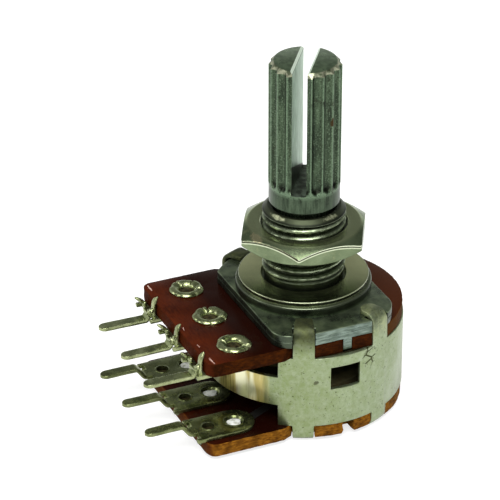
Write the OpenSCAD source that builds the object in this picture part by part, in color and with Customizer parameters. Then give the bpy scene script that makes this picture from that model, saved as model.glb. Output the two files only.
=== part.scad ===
// Two-gang rotary potentiometer: threaded bushing, split splined shaft, two boards of three solder pins.
// Millimetres. The origin is on the shaft's axis at the mounting face, where the washer rests.
// +Z runs up the shaft to the knob, -Y points to the pins, and +X to the locating tongue.

/* [Shaft] */
// Diameter of the knob end over the crests of its splines
shaft_d = 6; // [5.6:0.1:6.2]
// Height of the shaft's tip above the mounting face
shaft_reach = 20; // [14:0.5:30]
// Number of splines round the knob end
spline_count = 18; // [16:1:24]
// Radius of the round-bottomed groove between two splines
spline_groove_r = 0.48; // [0.3:0.02:0.5]
// Depth of that groove
spline_groove_depth = 0.33; // [0.15:0.01:0.4]
// Chamfer round the tip
tip_chamfer = 0.42; // [0.1:0.02:0.6]
// Width of the slot that splits the knob end
slot_w = 1.25; // [0.6:0.05:1.6]
// Depth of the slot below the tip
slot_depth = 11.05; // [6:0.05:11.1]
// Direction of the slot, in degrees from +X
slot_angle = -35; // [-90:5:90]
// Height of the plain band under the splines
band_h = 1.6; // [0.8:0.1:2.4]
// Gap between that band and the mouth of the bushing
band_gap = 0.4; // [0.2:0.1:1]
// How far the rolled splines stand over that band
spline_rise = 0.03; // [0.01:0.01:0.08]
// Diameter of the shaft where it drives the rotors
drive_d = 4; // [3.6:0.1:4.4]
// Distance across the two flats of the drive
drive_flats = 3; // [2.6:0.1:3.4]
// Diameter of the pivot at the shaft's lower end
pivot_d = 2.4; // [1.6:0.1:2.8]
// Depth of the pivot's end inside the rear board's outer face
pivot_recess = 0.2; // [0:0.05:0.6]
// Length of the turned foot below the retaining ring
journal_foot_h = 0.5; // [0.3:0.05:0.7]
// Gap between the drive's lower end and the rear board
drive_end_gap = 0.4; // [0.2:0.05:0.8]

/* [Bushing and plate] */
// Outer diameter of the bushing's thread
thread_d = 7; // [6.8:0.1:7.6]
// Pitch of the thread
thread_pitch = 0.75; // [0.5:0.05:1]
// Depth of the thread
thread_depth = 0.36; // [0.2:0.02:0.4]
// Height of the bushing above the mounting face
bushing_h = 6.9; // [6:0.1:9]
// Bore of the bushing
bushing_bore_d = 5; // [4.8:0.1:5.2]
// Chamfer at the bushing's mouth
mouth_chamfer = 0.46; // [0.2:0.02:0.46]
// Diameter of the round boss under the washer
boss_d = 11.5; // [11.2:0.1:12]
// Height of that boss
boss_h = 0.8; // [0.4:0.1:1.4]
// Thickness of the plate
plate_t = 1.2; // [0.8:0.1:1.8]
// Distance of the plate's straight side inside the case's outer face
plate_side_gap = 0.85; // [0.6:0.05:1]
// Reach of the plate towards the pins
plate_tail_y = 5.75; // [5:0.05:6.2]
// Reach of the plate away from the pins
plate_nose_y = 5.5; // [5:0.05:6.2]
// Distance of the plate's rounded side inside the case's outer face
plate_round_gap = 0.9; // [0.7:0.05:1.1]
// Radius of the plate's corner beside the pins
plate_tail_corner_r = 1.6; // [0.8:0.1:2]
// Radius of the plate's corner away from the pins
plate_nose_corner_r = 2.5; // [1.6:0.1:3]
// Width of the locating tongue
tongue_w = 0.75; // [0.5:0.05:1.2]
// Thickness of the locating tongue
tongue_t = 0.5; // [0.3:0.05:0.7]
// Sideways place of the locating tongue
tongue_y = 0.35; // [-1:0.05:1]
// Diameter of the spigot that centres the plate in the front board
spigot_d = 7.1; // [6.8:0.1:7.4]
// Length of that spigot
spigot_h = 0.85; // [0.5:0.05:1]

/* [Washer and nut] */
// Outer diameter of the washer
washer_d = 11; // [10:0.1:11]
// Thickness of the washer
washer_t = 0.45; // [0.3:0.05:0.6]
// Nut, across its flats
nut_flats = 10; // [9:0.1:11]
// Thickness of the nut
nut_t = 1.8; // [1.4:0.1:2.4]
// Height of the nut's lower face above the mounting face, as it is screwed on
nut_z = 3.5; // [2.8:0.1:4]
// Direction of one corner of the nut, in degrees from +X
nut_angle = -29; // [-60:1:60]
// How far the cone of each face reaches in from the nut's flats
nut_chamfer = 0.28; // [0.1:0.02:0.6]
// Height that each face's cone takes off the nut's corners
nut_chamfer_h = 0.66; // [0.2:0.02:0.68]
// Height of the chamfers round the nut's bore
nut_edge = 0.28; // [0.1:0.02:0.4]

/* [Boards] */
// Thickness of each board
board_t = 1.2; // [1:0.05:1.6]
// Distance of the boards' round end inside the case's outer face
board_inset = 0.1; // [0.05:0.05:0.3]
// Distance from an outer pin's middle to the side of the boards' tail
tail_margin = 2.4; // [2:0.05:2.5]
// Distance from the row of eyelets to the end of the boards' tail
tail_reach = 3.2; // [3:0.1:3.6]
// Radius of the tail's corners
tail_corner_r = 0.8; // [0.4:0.1:1.2]
// Gap on each side of the locating tongue in the boards' notches
index_gap = 0.15; // [0.05:0.05:0.4]
// Height of the slanted shoulder between the tail's straight side and each lower tab notch
shoulder_h = 1.1; // [0.6:0.1:1.6]

/* [Case] */
// Outer radius of the case
case_r = 8.5; // [8.46:0.02:8.7]
// Thickness of the case's sheet
case_t = 0.38; // [0.3:0.02:0.5]
// Height of the case's wall between the boards
case_h = 6.5; // [6.2:0.1:8]
// Half angle of the case's opening over the pins, in degrees
opening_half_angle = 51; // [46:1:56]
// Height of the band that crosses that opening
case_band_h = 2.7; // [2:0.1:3]
// Height of the window over the stop
window_h = 1.85; // [1.2:0.05:2]
// Width of the window over the stop
window_w = 2.65; // [2:0.05:3]
// Depth of the window's top edge below the top of the wall
window_drop = 1.15; // [0.8:0.05:1.3]
// Gap between the stop's tip and the rotor's disc
stop_gap = 0.42; // [0.2:0.02:0.6]
// Width of each folded tab
tab_w = 1.8; // [1.4:0.1:2.2]
// Angle between each tab and the X axis, in degrees
tab_angle = 24.5; // [22:0.5:27]
// Outer radius of each tab's fold
tab_bend_r = 1; // [0.8:0.05:1.2]
// Reach of the tabs' tips inwards from the case's outer face
tab_reach = 2; // [1.6:0.1:2.3]

/* [Terminals] */
// Distance between neighbouring pins
pin_pitch = 5; // [4.6:0.1:5.4]
// Distance from the case's outer face to the row of eyelets
eyelet_gap = 0.1; // [0:0.05:0.4]
// Thickness of the terminals' strip
strip_t = 0.38; // [0.3:0.02:0.5]
// Width of the terminals' strip
strip_w = 3.4; // [2.8:0.1:3.8]
// Distance from the eyelet to the strip's outer end
strip_reach = 4; // [3.8:0.05:4.4]
// Diameter of the hole through each eyelet
eyelet_hole_d = 1.1; // [0.8:0.05:1.2]
// Outer diameter of the eyelet's neck in the board
eyelet_neck_d = 1.9; // [1.7:0.05:2.1]
// Diameter of the eyelet's flared rim
eyelet_rim_d = 2.9; // [2.4:0.05:3.1]
// Height of the flared rim over the board
eyelet_rim_h = 0.28; // [0.15:0.01:0.35]
// Diameter of the second hole in the strip
strip_hole_d = 1.05; // [0.6:0.05:1.2]
// Distance from the eyelet to the second hole
strip_hole_y = 2.35; // [2.2:0.05:2.5]
// Width of each pin
pin_w = 1; // [0.8:0.05:1.2]
// Distance from the eyelet to the pins' tips
pin_reach = 8; // [6:0.25:10]
// Drop of the front pins away from their board
front_pin_drop = 0.55; // [0.3:0.05:0.9]
// Rise of the rear pins away from their board
rear_pin_drop = 0.9; // [0.3:0.05:1.1]
// Width of each claw
claw_w = 0.8; // [0.6:0.05:1]
// Width of a folded claw's tip
claw_tip_w = 0.6; // [0.4:0.05:0.6]
// Reach of a folded claw over the board
claw_fold = 0.45; // [0.2:0.05:0.6]
// Length of a claw that has sprung outwards
sprung_claw_h = 1.15; // [0.8:0.05:1.4]
// Lean of that claw away from the board, in degrees
sprung_claw_angle = 48; // [20:1:60]
// Distance from the terminal's middle to a claw's middle
claw_x = 0.98; // [0.95:0.01:1.15]

/* [Tracks and wipers] */
// Thickness of the printed tracks
print_t = 0.05; // [0.03:0.01:0.08]
// Distance from the board's hole to the collector ring
collector_gap = 0.15; // [0.1:0.05:0.2]
// Width of the collector ring
collector_w = 0.7; // [0.6:0.05:0.75]
// Distance between the collector ring and the carbon track
track_gap = 0.3; // [0.2:0.05:0.4]
// Width of the carbon track
carbon_w = 1.35; // [1:0.05:1.4]
// Half angle of the gap between the carbon track's ends, in degrees
carbon_gap_angle = 30; // [22:1:34]
// Thickness of the wipers' spring sheet
wiper_t = 0.15; // [0.1:0.01:0.2]
// Width of the ring that holds the wiper on its rotor
wiper_ring_w = 0.6; // [0.4:0.05:0.8]
// Reach of each wiper finger from the middle of the wiper
finger_reach = 1.3; // [1:0.05:1.5]
// Width of each wiper finger
finger_w = 0.5; // [0.3:0.05:0.6]
// Gap kept between a finger's tip and its track
finger_gap = 0.04; // [0.02:0.01:0.08]

/* [Rotors] */
// Reach of the rotors' discs beyond the carbon track
rotor_margin = 0.1; // [0:0.05:0.2]
// Thickness of the rotors' discs
rotor_disc_t = 1.2; // [0.8:0.1:1.4]
// Distance from each board to its rotor's disc
rotor_drop = 1.2; // [1.1:0.05:1.4]
// Thickness of the rotors' hubs round the shaft
rotor_hub_t = 1.25; // [1:0.05:1.3]
// Rise of the hub over the disc, on the side of the tracks
hub_rise = 0.3; // [0.2:0.05:0.5]
// Gap between the stop lug and the case's inner face
lug_gap = 0.72; // [0.4:0.02:1]
// Turn of the shaft from stop to stop, in degrees
travel = 300; // [240:5:305]

/* [Retaining ring] */
// Overlap of the retaining ring with the foot of the bushing
ring_lap = 0.75; // [0.5:0.05:0.85]
// Thickness of the retaining ring
ring_t = 0.4; // [0.3:0.05:0.5]
// Depth of its groove in the shaft
ring_groove_depth = 0.4; // [0.3:0.05:0.5]
// Opening in the ring, in degrees
ring_gap_angle = 70; // [40:5:100]

/* [Fits] */
// Radial clearance of the shaft in the bushing and the pivot in its hole
running_fit = 0.05; // [0.02:0.01:0.08]
// Radial clearance of parts that are only assembled together
assembly_fit = 0.05; // [0.02:0.01:0.1]
// Side clearance of the stop lug at each end of the travel, in degrees
stop_fit = 0.6; // [0.3:0.1:1]

/* [Hidden] */
$fn = 96;
// How far cutting shapes run past what they cut, and joined shapes run into each other
over = 0.5;
weld = 0.01;

// Heights, from the mounting face down
plate_top = -boss_h;
plate_bottom = plate_top - plate_t;
front_inner = plate_bottom - board_t;
rear_inner = front_inner - case_h;
rear_outer = rear_inner - board_t;
mid_z = (front_inner + rear_inner) / 2;

// Heights up the shaft
band_bottom = bushing_h + band_gap;
band_top = band_bottom + band_h;
slot_floor = shaft_reach - slot_depth;

bore_r = bushing_bore_d / 2;
journal_r = bore_r - running_fit;
thread_r = thread_d / 2;
ring_r = bore_r + ring_lap;
case_inner_r = case_r - case_t;
board_r = case_r - board_inset;
plate_side_x = case_r - plate_side_gap;
plate_round_r = case_r - plate_round_gap;
tab_tip_r = case_r - tab_reach;
eyelet_y = case_r + eyelet_gap;
tail_end_y = eyelet_y + tail_reach;
tail_half_w = pin_pitch + tail_margin;
board_hole_r = spigot_d / 2 + assembly_fit;
index_floor_x = plate_side_x - tongue_t - assembly_fit;
collector_inner_r = board_hole_r + collector_gap;
collector_outer_r = collector_inner_r + collector_w;
carbon_inner_r = collector_outer_r + track_gap;
carbon_outer_r = carbon_inner_r + carbon_w;
carbon_mid_r = carbon_inner_r + carbon_w / 2;
rotor_hub_r = drive_d / 2 + rotor_hub_t;
rotor_r = carbon_outer_r + rotor_margin;
lug_r = case_inner_r - lug_gap;
ring_top = plate_bottom - spigot_h - running_fit;
tab_half_angle = asin(tab_w / 2 / case_r);
notch_floor_r = case_r - tab_bend_r - assembly_fit;
stop_angle = -asin((window_w + case_t) / 2 / case_r);
stop_half_angle = asin(case_t / (rotor_r + lug_r));
lug_angle = 360 - travel - 2 * stop_half_angle - 2 * stop_fit;
claw_outer_y = -tail_reach - strip_t;

steel = [0.74, 0.78, 0.68];
zinc = [0.35, 0.40, 0.36];
phenolic = [0.28, 0.08, 0.04];
tinned = [0.50, 0.54, 0.40];
plastic = [0.10, 0.10, 0.10];

// Places of the four tabs round the case
function tab_places() = [tab_angle, 180 - tab_angle, 180 + tab_angle, 360 - tab_angle];

// A ring or disc with square edges
module ring(outer_r, inner_r, low, high) {
    rotate_extrude() translate([inner_r, low]) square([outer_r - inner_r, high - low]);
}

// The bushing's outline: threaded wall with a chamfered mouth, boss, and the spigot under the plate
module bushing_profile() {
    chamfer = mouth_chamfer * sqrt(2);
    difference() {
        union() {
            translate([bore_r, 0]) square([thread_r - bore_r, bushing_h]);
            translate([bore_r, plate_top - weld]) square([boss_d / 2 - bore_r, boss_h + weld]);
            translate([bore_r, plate_bottom - spigot_h]) square([spigot_d / 2 - bore_r, spigot_h + weld]);
        }
        for (r = [bore_r, thread_r]) translate([r, bushing_h]) rotate(45) square(chamfer, center = true);
        for (z = [washer_t + thread_pitch : thread_pitch : bushing_h - mouth_chamfer])
            translate([thread_r, z]) thread_groove();
    }
}

// Section of one groove of the thread, cut inwards from its crest
module thread_groove() {
    mouth = thread_pitch * 0.4;
    root = thread_pitch * 0.06;
    polygon([[weld, -mouth], [weld, mouth], [-thread_depth, root], [-thread_depth, -root]]);
}

// Cuts for the four folded tabs in the edge of a plate or board
module tab_notches() {
    for (a = tab_places()) rotate(a)
        translate([notch_floor_r, -tab_w / 2 - assembly_fit]) square([tab_w, tab_w + 2 * assembly_fit]);
}

// Plan of the plate: straight side with the tongue towards +X, round side towards -X
module plate_plan() {
    difference() {
        union() {
            intersection() {
                circle(plate_round_r);
                translate([-plate_round_r, -plate_tail_y])
                    square([plate_round_r, plate_tail_y + plate_nose_y]);
            }
            translate([-weld, -plate_tail_y])
                corner_strip(plate_side_x + weld, plate_tail_y + plate_nose_y);
        }
        tab_notches();
    }
}

// Straight-sided half of the plate, with its two outer corners rounded
module corner_strip(w, h) {
    difference() {
        square([w, h]);
        translate([w - plate_tail_corner_r, 0]) square(plate_tail_corner_r);
        translate([w - plate_nose_corner_r, h - plate_nose_corner_r]) square(plate_nose_corner_r);
    }
    translate([w - plate_tail_corner_r, plate_tail_corner_r]) circle(plate_tail_corner_r);
    translate([w - plate_nose_corner_r, h - plate_nose_corner_r]) circle(plate_nose_corner_r);
}

module bushing_plate() color(zinc) {
    difference() {
        union() {
            rotate_extrude() bushing_profile();
            translate([0, 0, plate_bottom]) linear_extrude(plate_t) plate_plan();
        }
        translate([0, 0, plate_bottom - over]) cylinder(r = bore_r, h = plate_t + 2 * over);
    }
    translate([plate_side_x - tongue_t, tongue_y - tongue_w / 2, front_inner])
        cube([tongue_t, tongue_w, board_t + plate_t / 2]);
}

module washer() color(tinned) ring(washer_d / 2, thread_r + 2 * assembly_fit, 0, washer_t);

module nut() color(tinned) translate([0, 0, nut_z]) {
    corner_r = nut_flats / 2 / cos(30);
    face_r = nut_flats / 2 - nut_chamfer;
    bore = thread_r + assembly_fit;
    // Both cones run on to a rim that stands clear of the corners
    rim_r = corner_r + weld;
    rim_z = nut_chamfer_h * (rim_r - face_r) / (corner_r - face_r);
    difference() {
        intersection() {
            rotate(nut_angle) cylinder(r = corner_r, h = nut_t, $fn = 6);
            rotate_extrude()
                polygon([[0, 0], [face_r, 0], [rim_r, rim_z],
                         [rim_r, nut_t - rim_z], [face_r, nut_t], [0, nut_t]]);
        }
        translate([0, 0, -over]) cylinder(r = bore, h = nut_t + 2 * over);
        for (z = [0, nut_t]) rotate_extrude()
            translate([bore, z]) rotate(45) square(nut_edge * sqrt(2), center = true);
    }
}

// Plan of the splined knob end: one round-bottomed groove between each two crests
module spline_plan() {
    r = shaft_d / 2;
    pitch = 360 / spline_count;
    difference() {
        circle(r);
        for (i = [0 : spline_count - 1]) rotate(slot_angle + (i + 0.5) * pitch)
            translate([r + spline_groove_r - spline_groove_depth, 0]) circle(spline_groove_r, $fn = 48);
    }
}

module shaft() color(zinc) {
    r = shaft_d / 2;
    difference() {
        union() {
            intersection() {
                translate([0, 0, band_top - weld])
                    linear_extrude(shaft_reach - band_top + weld) spline_plan();
                rotate_extrude() polygon([[0, band_bottom], [r + over, band_bottom],
                                          [r + over, shaft_reach - tip_chamfer - over],
                                          [r - tip_chamfer, shaft_reach], [0, shaft_reach]]);
            }
            translate([0, 0, band_bottom]) cylinder(r = r - spline_rise, h = band_h);
            journal();
            drive();
        }
        rotate(slot_angle) translate([-shaft_d, -slot_w / 2, slot_floor])
            cube([2 * shaft_d, slot_w, slot_depth + over]);
    }
}

// Turned part of the shaft inside the bushing, with the groove of its retaining ring
module journal() {
    ring_low = ring_top - ring_t - assembly_fit;
    groove_r = journal_r - ring_groove_depth;
    foot = ring_low - journal_foot_h;
    top = band_bottom + weld;
    rotate_extrude() polygon([[0, foot], [journal_r, foot], [journal_r, ring_low], [groove_r, ring_low],
                              [groove_r, ring_top], [journal_r, ring_top], [journal_r, top], [0, top]]);
}

// Two-flatted drive through both rotors, and the pivot in the rear board
module drive() {
    top = front_inner;
    low = rear_inner + drive_end_gap;
    intersection() {
        translate([0, 0, low]) cylinder(d = drive_d, h = top - low);
        translate([-drive_d, -drive_flats / 2, low]) cube([2 * drive_d, drive_flats, top - low]);
    }
    translate([0, 0, rear_outer + pivot_recess]) cylinder(d = pivot_d, h = low - rear_outer);
}

module retaining_ring() color(steel) {
    inner = journal_r - ring_groove_depth + assembly_fit / 2;
    rotate(ring_gap_angle / 2) rotate_extrude(angle = 360 - ring_gap_angle)
        translate([inner, ring_top - ring_t]) square([ring_r - inner, ring_t]);
}

// Plan of a board: round end, tail for the terminals, notches for the tabs and the tongue
module board_plan(hole_r) {
    corner_x = tail_half_w - tail_corner_r;
    corner_y = tail_end_y - tail_corner_r;
    root_y = board_r / 2;
    difference() {
        union() {
            circle(board_r);
            translate([-tail_half_w, -corner_y]) square([2 * tail_half_w, corner_y - root_y]);
            translate([-corner_x, -tail_end_y]) square([2 * corner_x, tail_end_y - root_y]);
            for (s = [-1, 1]) translate([s * corner_x, -corner_y]) circle(tail_corner_r);
        }
        circle(hole_r);
        tab_notches();
        for (s = [-1, 1]) tail_shoulder(s);
        translate([index_floor_x, tongue_y - tongue_w / 2 - index_gap])
            square([board_r - index_floor_x + over, tongue_w + 2 * index_gap]);
        for (i = [-1, 0, 1]) translate([i * pin_pitch, -eyelet_y]) circle(eyelet_neck_d / 2 + assembly_fit);
    }
}

// Slanted cut from the tail's straight side to the mouth of the tab's notch, half-way down its depth
module tail_shoulder(s) {
    half_w = tab_w / 2 + assembly_fit;
    inner_x = notch_floor_r * cos(tab_angle) - half_w * sin(tab_angle) + (board_r - notch_floor_r) / 2;
    inner_y = -notch_floor_r * sin(tab_angle) - half_w * cos(tab_angle);
    outside = s * (board_r + over);
    low = inner_y - shoulder_h;
    polygon([[s * tail_half_w, low], [outside, low], [outside, inner_y], [s * inner_x, inner_y]]);
}

module front_board() color(phenolic)
    translate([0, 0, front_inner]) linear_extrude(board_t) board_plan(board_hole_r);

module rear_board() color(phenolic)
    translate([0, 0, rear_outer]) linear_extrude(board_t) board_plan(pivot_d / 2 + running_fit);

// Plan of the carbon horseshoe with its two legs towards the outer terminals
module carbon_plan() {
    gap_reach = 2 * carbon_outer_r;
    difference() {
        union() {
            difference() {
                circle(carbon_outer_r);
                circle(carbon_inner_r);
                rotate(-90) polygon([[0, 0], [gap_reach, -gap_reach * tan(carbon_gap_angle)],
                                     [gap_reach, gap_reach * tan(carbon_gap_angle)]]);
            }
            for (s = [-1, 1]) track_leg(s);
        }
        for (s = [-1, 1]) translate([s * pin_pitch, -eyelet_y]) circle(strip_w / 2 + assembly_fit);
    }
}

// Leg from just inside one end of the horseshoe to the edge of its terminal
module track_leg(s) {
    start_angle = carbon_gap_angle + 8;
    start = carbon_mid_r * [s * sin(start_angle), -cos(start_angle)];
    end = [s * pin_pitch, -eyelet_y + strip_w / 4];
    side = [carbon_w * 0.35, 0];
    polygon([start - side, end - side, end + side, start + side]);
}

// Plan of the collector ring with its leg towards the middle terminal
module collector_plan() {
    leg_w = 1;
    difference() {
        union() {
            circle(collector_outer_r);
            translate([-leg_w / 2, -eyelet_y]) square([leg_w, eyelet_y - collector_inner_r]);
        }
        circle(collector_inner_r);
        translate([0, -eyelet_y]) circle(strip_w / 2 + assembly_fit);
    }
}

module front_carbon_track() color([0.05, 0.05, 0.05])
    translate([0, 0, front_inner - print_t]) linear_extrude(print_t) carbon_plan();

module rear_carbon_track() color([0.05, 0.05, 0.05])
    translate([0, 0, rear_inner]) linear_extrude(print_t) carbon_plan();

module front_collector_ring() color(steel)
    translate([0, 0, front_inner - print_t]) linear_extrude(print_t) collector_plan();

module rear_collector_ring() color(steel)
    translate([0, 0, rear_inner]) linear_extrude(print_t) collector_plan();

// Rectangle whose two corners away from the shaft's axis are rounded
module round_nosed(inner, outer, low, high, r) {
    difference() {
        translate([inner, low]) square([outer - inner, high - low]);
        for (z = [low, high - r]) translate([outer - r, z]) square(r);
    }
    for (z = [low + r, high - r]) translate([outer - r, z]) circle(r);
}

// Section of the folded sheet through two opposite tabs: front tab, wall and rear tab
module sheet_section() {
    low = rear_outer - case_t;
    high = plate_top + case_t;
    difference() {
        round_nosed(tab_tip_r, case_r, low, high, tab_bend_r);
        round_nosed(tab_tip_r - over, case_inner_r, low + case_t, high - case_t, tab_bend_r - case_t);
    }
}

// Wedge that cuts the sheet between two angles and two heights
module sheet_cut(from, to, low, high) {
    rotate(from) translate([0, 0, low]) rotate_extrude(angle = to - from)
        translate([tab_tip_r - over, 0]) square([case_r - tab_tip_r + 2 * over, high - low]);
}

// Cuts that leave only the four tabs standing at one end of the wall
module between_tabs(low, high) {
    places = concat(tab_places(), [360 + tab_angle]);
    for (i = [0 : 3]) sheet_cut(places[i] + tab_half_angle, places[i + 1] - tab_half_angle, low, high);
}

module case_shell() color(steel) {
    window_top = front_inner - window_drop;
    band_low = mid_z - case_band_h / 2;
    opening_from = 270 - opening_half_angle;
    opening_to = 270 + opening_half_angle;
    difference() {
        rotate_extrude() sheet_section();
        between_tabs(front_inner, plate_top + case_t + over);
        between_tabs(rear_outer - case_t - over, rear_inner);
        sheet_cut(opening_from, opening_to, band_low + case_band_h, front_inner + weld);
        sheet_cut(opening_from, opening_to, rear_inner - weld, band_low);
        translate([0, -window_w / 2, window_top - window_h]) cube([case_r + over, window_w, window_h]);
    }
    translate([0, 0, window_top - window_h]) rotate(stop_angle)
        translate([rotor_r + stop_gap, -case_t / 2, 0])
            cube([case_inner_r - rotor_r - stop_gap + case_t / 2, case_t, window_h]);
}

// Plan of a terminal's strip: rounded end round the eyelet, slots beside the pin for the claws
module strip_plan() {
    difference() {
        union() {
            circle(strip_w / 2);
            translate([-strip_w / 2, -strip_reach]) square([strip_w, strip_reach]);
        }
        circle(eyelet_neck_d / 2 - weld);
        translate([0, -strip_hole_y]) circle(strip_hole_d / 2);
        for (s = [-1, 1]) translate([s * claw_x - claw_w / 2, -strip_reach - over])
            square([claw_w, strip_reach + claw_outer_y + over]);
    }
}

// Eyelet drawn through the board: funnel mouth at the strip, neck, and flared rim beyond the board
module eyelet() {
    neck = eyelet_neck_d / 2;
    hole = eyelet_hole_d / 2;
    rim = eyelet_rim_d / 2;
    funnel = strip_t * 0.6;
    far = -board_t - eyelet_rim_h;
    rotate_extrude() polygon([[neck, strip_t], [hole + funnel, strip_t], [hole, strip_t - funnel],
                              [hole, -board_t], [hole + eyelet_rim_h, far], [rim - eyelet_rim_h, far],
                              [rim, -board_t - eyelet_rim_h / 2], [rim, -board_t], [neck, -board_t]]);
}

// Section of the pin along its length: root in the strip, jog, straight pin
module pin_section(drop) {
    root = -strip_reach + strip_t;
    bend = -strip_reach - 0.25;
    level = bend - drop;
    lag = strip_t * 0.4;
    polygon([[root, 0], [root, strip_t], [bend, strip_t], [level, strip_t + drop],
             [-pin_reach, strip_t + drop], [-pin_reach, drop], [level - lag, drop], [bend - lag, 0]]);
}

// Plan of the pin with its rounded tip
module pin_plan() {
    translate([-pin_w / 2, -pin_reach + pin_w / 2]) square([pin_w, pin_reach - pin_w / 2]);
    translate([0, -pin_reach + pin_w / 2]) circle(pin_w / 2);
}

// Claw that grips the end of the board, folded over its far face
module folded_claw(x) {
    far = -board_t - strip_t;
    translate([x - claw_w / 2, claw_outer_y, far]) cube([claw_w, strip_t, board_t + 2 * strip_t]);
    translate([x - claw_tip_w / 2, claw_outer_y, far]) cube([claw_tip_w, strip_t + claw_fold, strip_t]);
}

// Claw that was pressed short of the far face
module short_claw(x) {
    reach = board_t * 0.4;
    translate([x - claw_w / 2, claw_outer_y, -reach]) cube([claw_w, strip_t, reach + strip_t]);
}

// Claw that has sprung outwards, away from the board
module sprung_claw(x) {
    translate([x, claw_outer_y + strip_t / 2, strip_t / 2]) rotate([-sprung_claw_angle, 0, 0])
        translate([-claw_w / 2, -strip_t / 2, -sprung_claw_h]) cube([claw_w, strip_t, sprung_claw_h]);
}

// One stamped terminal: the eyelet is at the origin, the board lies under it and the pin points to -Y
module terminal(drop) {
    color(tinned) {
        linear_extrude(strip_t) strip_plan();
        eyelet();
        intersection() {
            translate([-pin_w, 0, 0]) rotate([90, 0, 90]) linear_extrude(2 * pin_w) pin_section(drop);
            translate([0, 0, -over]) linear_extrude(drop + strip_t + 2 * over) pin_plan();
        }
    }
}

module front_terminal(i) {
    translate([i * pin_pitch, -eyelet_y, front_inner]) mirror([0, 0, 1]) {
        terminal(front_pin_drop);
        color(tinned) folded_claw(claw_x);
        color(tinned) sprung_claw(-claw_x);
    }
}

module rear_terminal(i) {
    translate([i * pin_pitch, -eyelet_y, rear_inner]) {
        terminal(rear_pin_drop);
        color(tinned) short_claw(claw_x);
        color(tinned) short_claw(-claw_x);
    }
}

module front_terminal_left() front_terminal(-1);
module front_terminal_middle() front_terminal(0);
module front_terminal_right() front_terminal(1);
module rear_terminal_left() rear_terminal(-1);
module rear_terminal_middle() rear_terminal(0);
module rear_terminal_right() rear_terminal(1);

// Rotor of one gang below its board at z 0: disc, hub with a two-flatted bore, and sometimes a stop lug
module rotor(has_lug) {
    hub_top = rotor_drop - hub_rise;
    disc_top = -rotor_drop;
    depth = case_h / 2;
    difference() {
        union() {
            translate([0, 0, disc_top - rotor_disc_t]) cylinder(r = rotor_r, h = rotor_disc_t);
            translate([0, 0, -depth]) cylinder(r = rotor_hub_r, h = depth - hub_top);
            if (has_lug) translate([0, 0, disc_top - rotor_disc_t]) rotate(180 + stop_angle - lug_angle / 2)
                rotate_extrude(angle = lug_angle) translate([rotor_hub_r, 0])
                    square([lug_r - rotor_hub_r, rotor_disc_t]);
        }
        intersection() {
            translate([0, 0, -depth - over]) cylinder(d = drive_d + 2 * assembly_fit, h = depth + 2 * over);
            translate([-drive_d, -drive_flats / 2 - assembly_fit, -depth - over])
                cube([2 * drive_d, drive_flats + 2 * assembly_fit, depth + 2 * over]);
        }
    }
}

// Section of one spring finger along X: flat root on the rotor, slope, flat contact and turned-down tip
module finger_section() {
    rise = rotor_drop - wiper_t - print_t - finger_gap;
    root = -finger_reach;
    bend = -finger_reach / 4;
    crest = finger_reach * 0.7;
    tip = finger_reach + wiper_t;
    polygon([[root, 0], [root, wiper_t], [bend, wiper_t], [crest, rise + wiper_t],
             [finger_reach, rise + wiper_t], [tip, rise], [tip, rise - wiper_t], [finger_reach, rise],
             [crest + wiper_t, rise], [bend + wiper_t, 0]]);
}

// Wiper of one gang below its board at z 0: ring on the rotor, a bar, and one finger for each track
module wiper() {
    ring_in = rotor_hub_r + assembly_fit;
    bar_w = finger_reach * 0.8;
    opening_w = 2.4 * finger_reach;
    translate([0, 0, -rotor_drop]) {
        difference() {
            ring(ring_in + wiper_ring_w, ring_in, 0, wiper_t);
            translate([-finger_reach, ring_in - over, -over]) cube([opening_w, 2 * wiper_ring_w, 2 * over]);
        }
        for (r = [(collector_inner_r + collector_outer_r) / 2, carbon_mid_r])
            translate([0, r + finger_w / 2, 0]) rotate([90, 0, 0])
                linear_extrude(finger_w) finger_section();
        translate([-finger_reach - bar_w / 2, ring_in, 0])
            cube([bar_w, carbon_mid_r + finger_w / 2 - ring_in, wiper_t]);
    }
}

module front_rotor() color(plastic) translate([0, 0, front_inner]) rotor(true);
module rear_rotor() color(plastic) translate([0, 0, rear_inner]) mirror([0, 0, 1]) rotor(false);
module front_wiper() color(steel) translate([0, 0, front_inner]) wiper();
module rear_wiper() color(steel) translate([0, 0, rear_inner]) mirror([0, 0, 1]) wiper();

bushing_plate();
washer();
nut();
shaft();
retaining_ring();
front_board();
front_carbon_track();
front_collector_ring();
front_rotor();
front_wiper();
case_shell();
rear_rotor();
rear_wiper();
rear_board();
rear_carbon_track();
rear_collector_ring();
front_terminal_left();
front_terminal_middle();
front_terminal_right();
rear_terminal_left();
rear_terminal_middle();
rear_terminal_right();
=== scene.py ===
"""Rotary potentiometer with two gangs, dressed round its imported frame.

The sections follow the object as it is put together, from the bushing's casting down to the rear pins.
Sizes ending in _mm are millimetres. Meshes are worked out in millimetres and stored in metres.
"""
import math

import bmesh
import bpy
import numpy as np
from mathutils import Matrix, Vector, geometry


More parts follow.
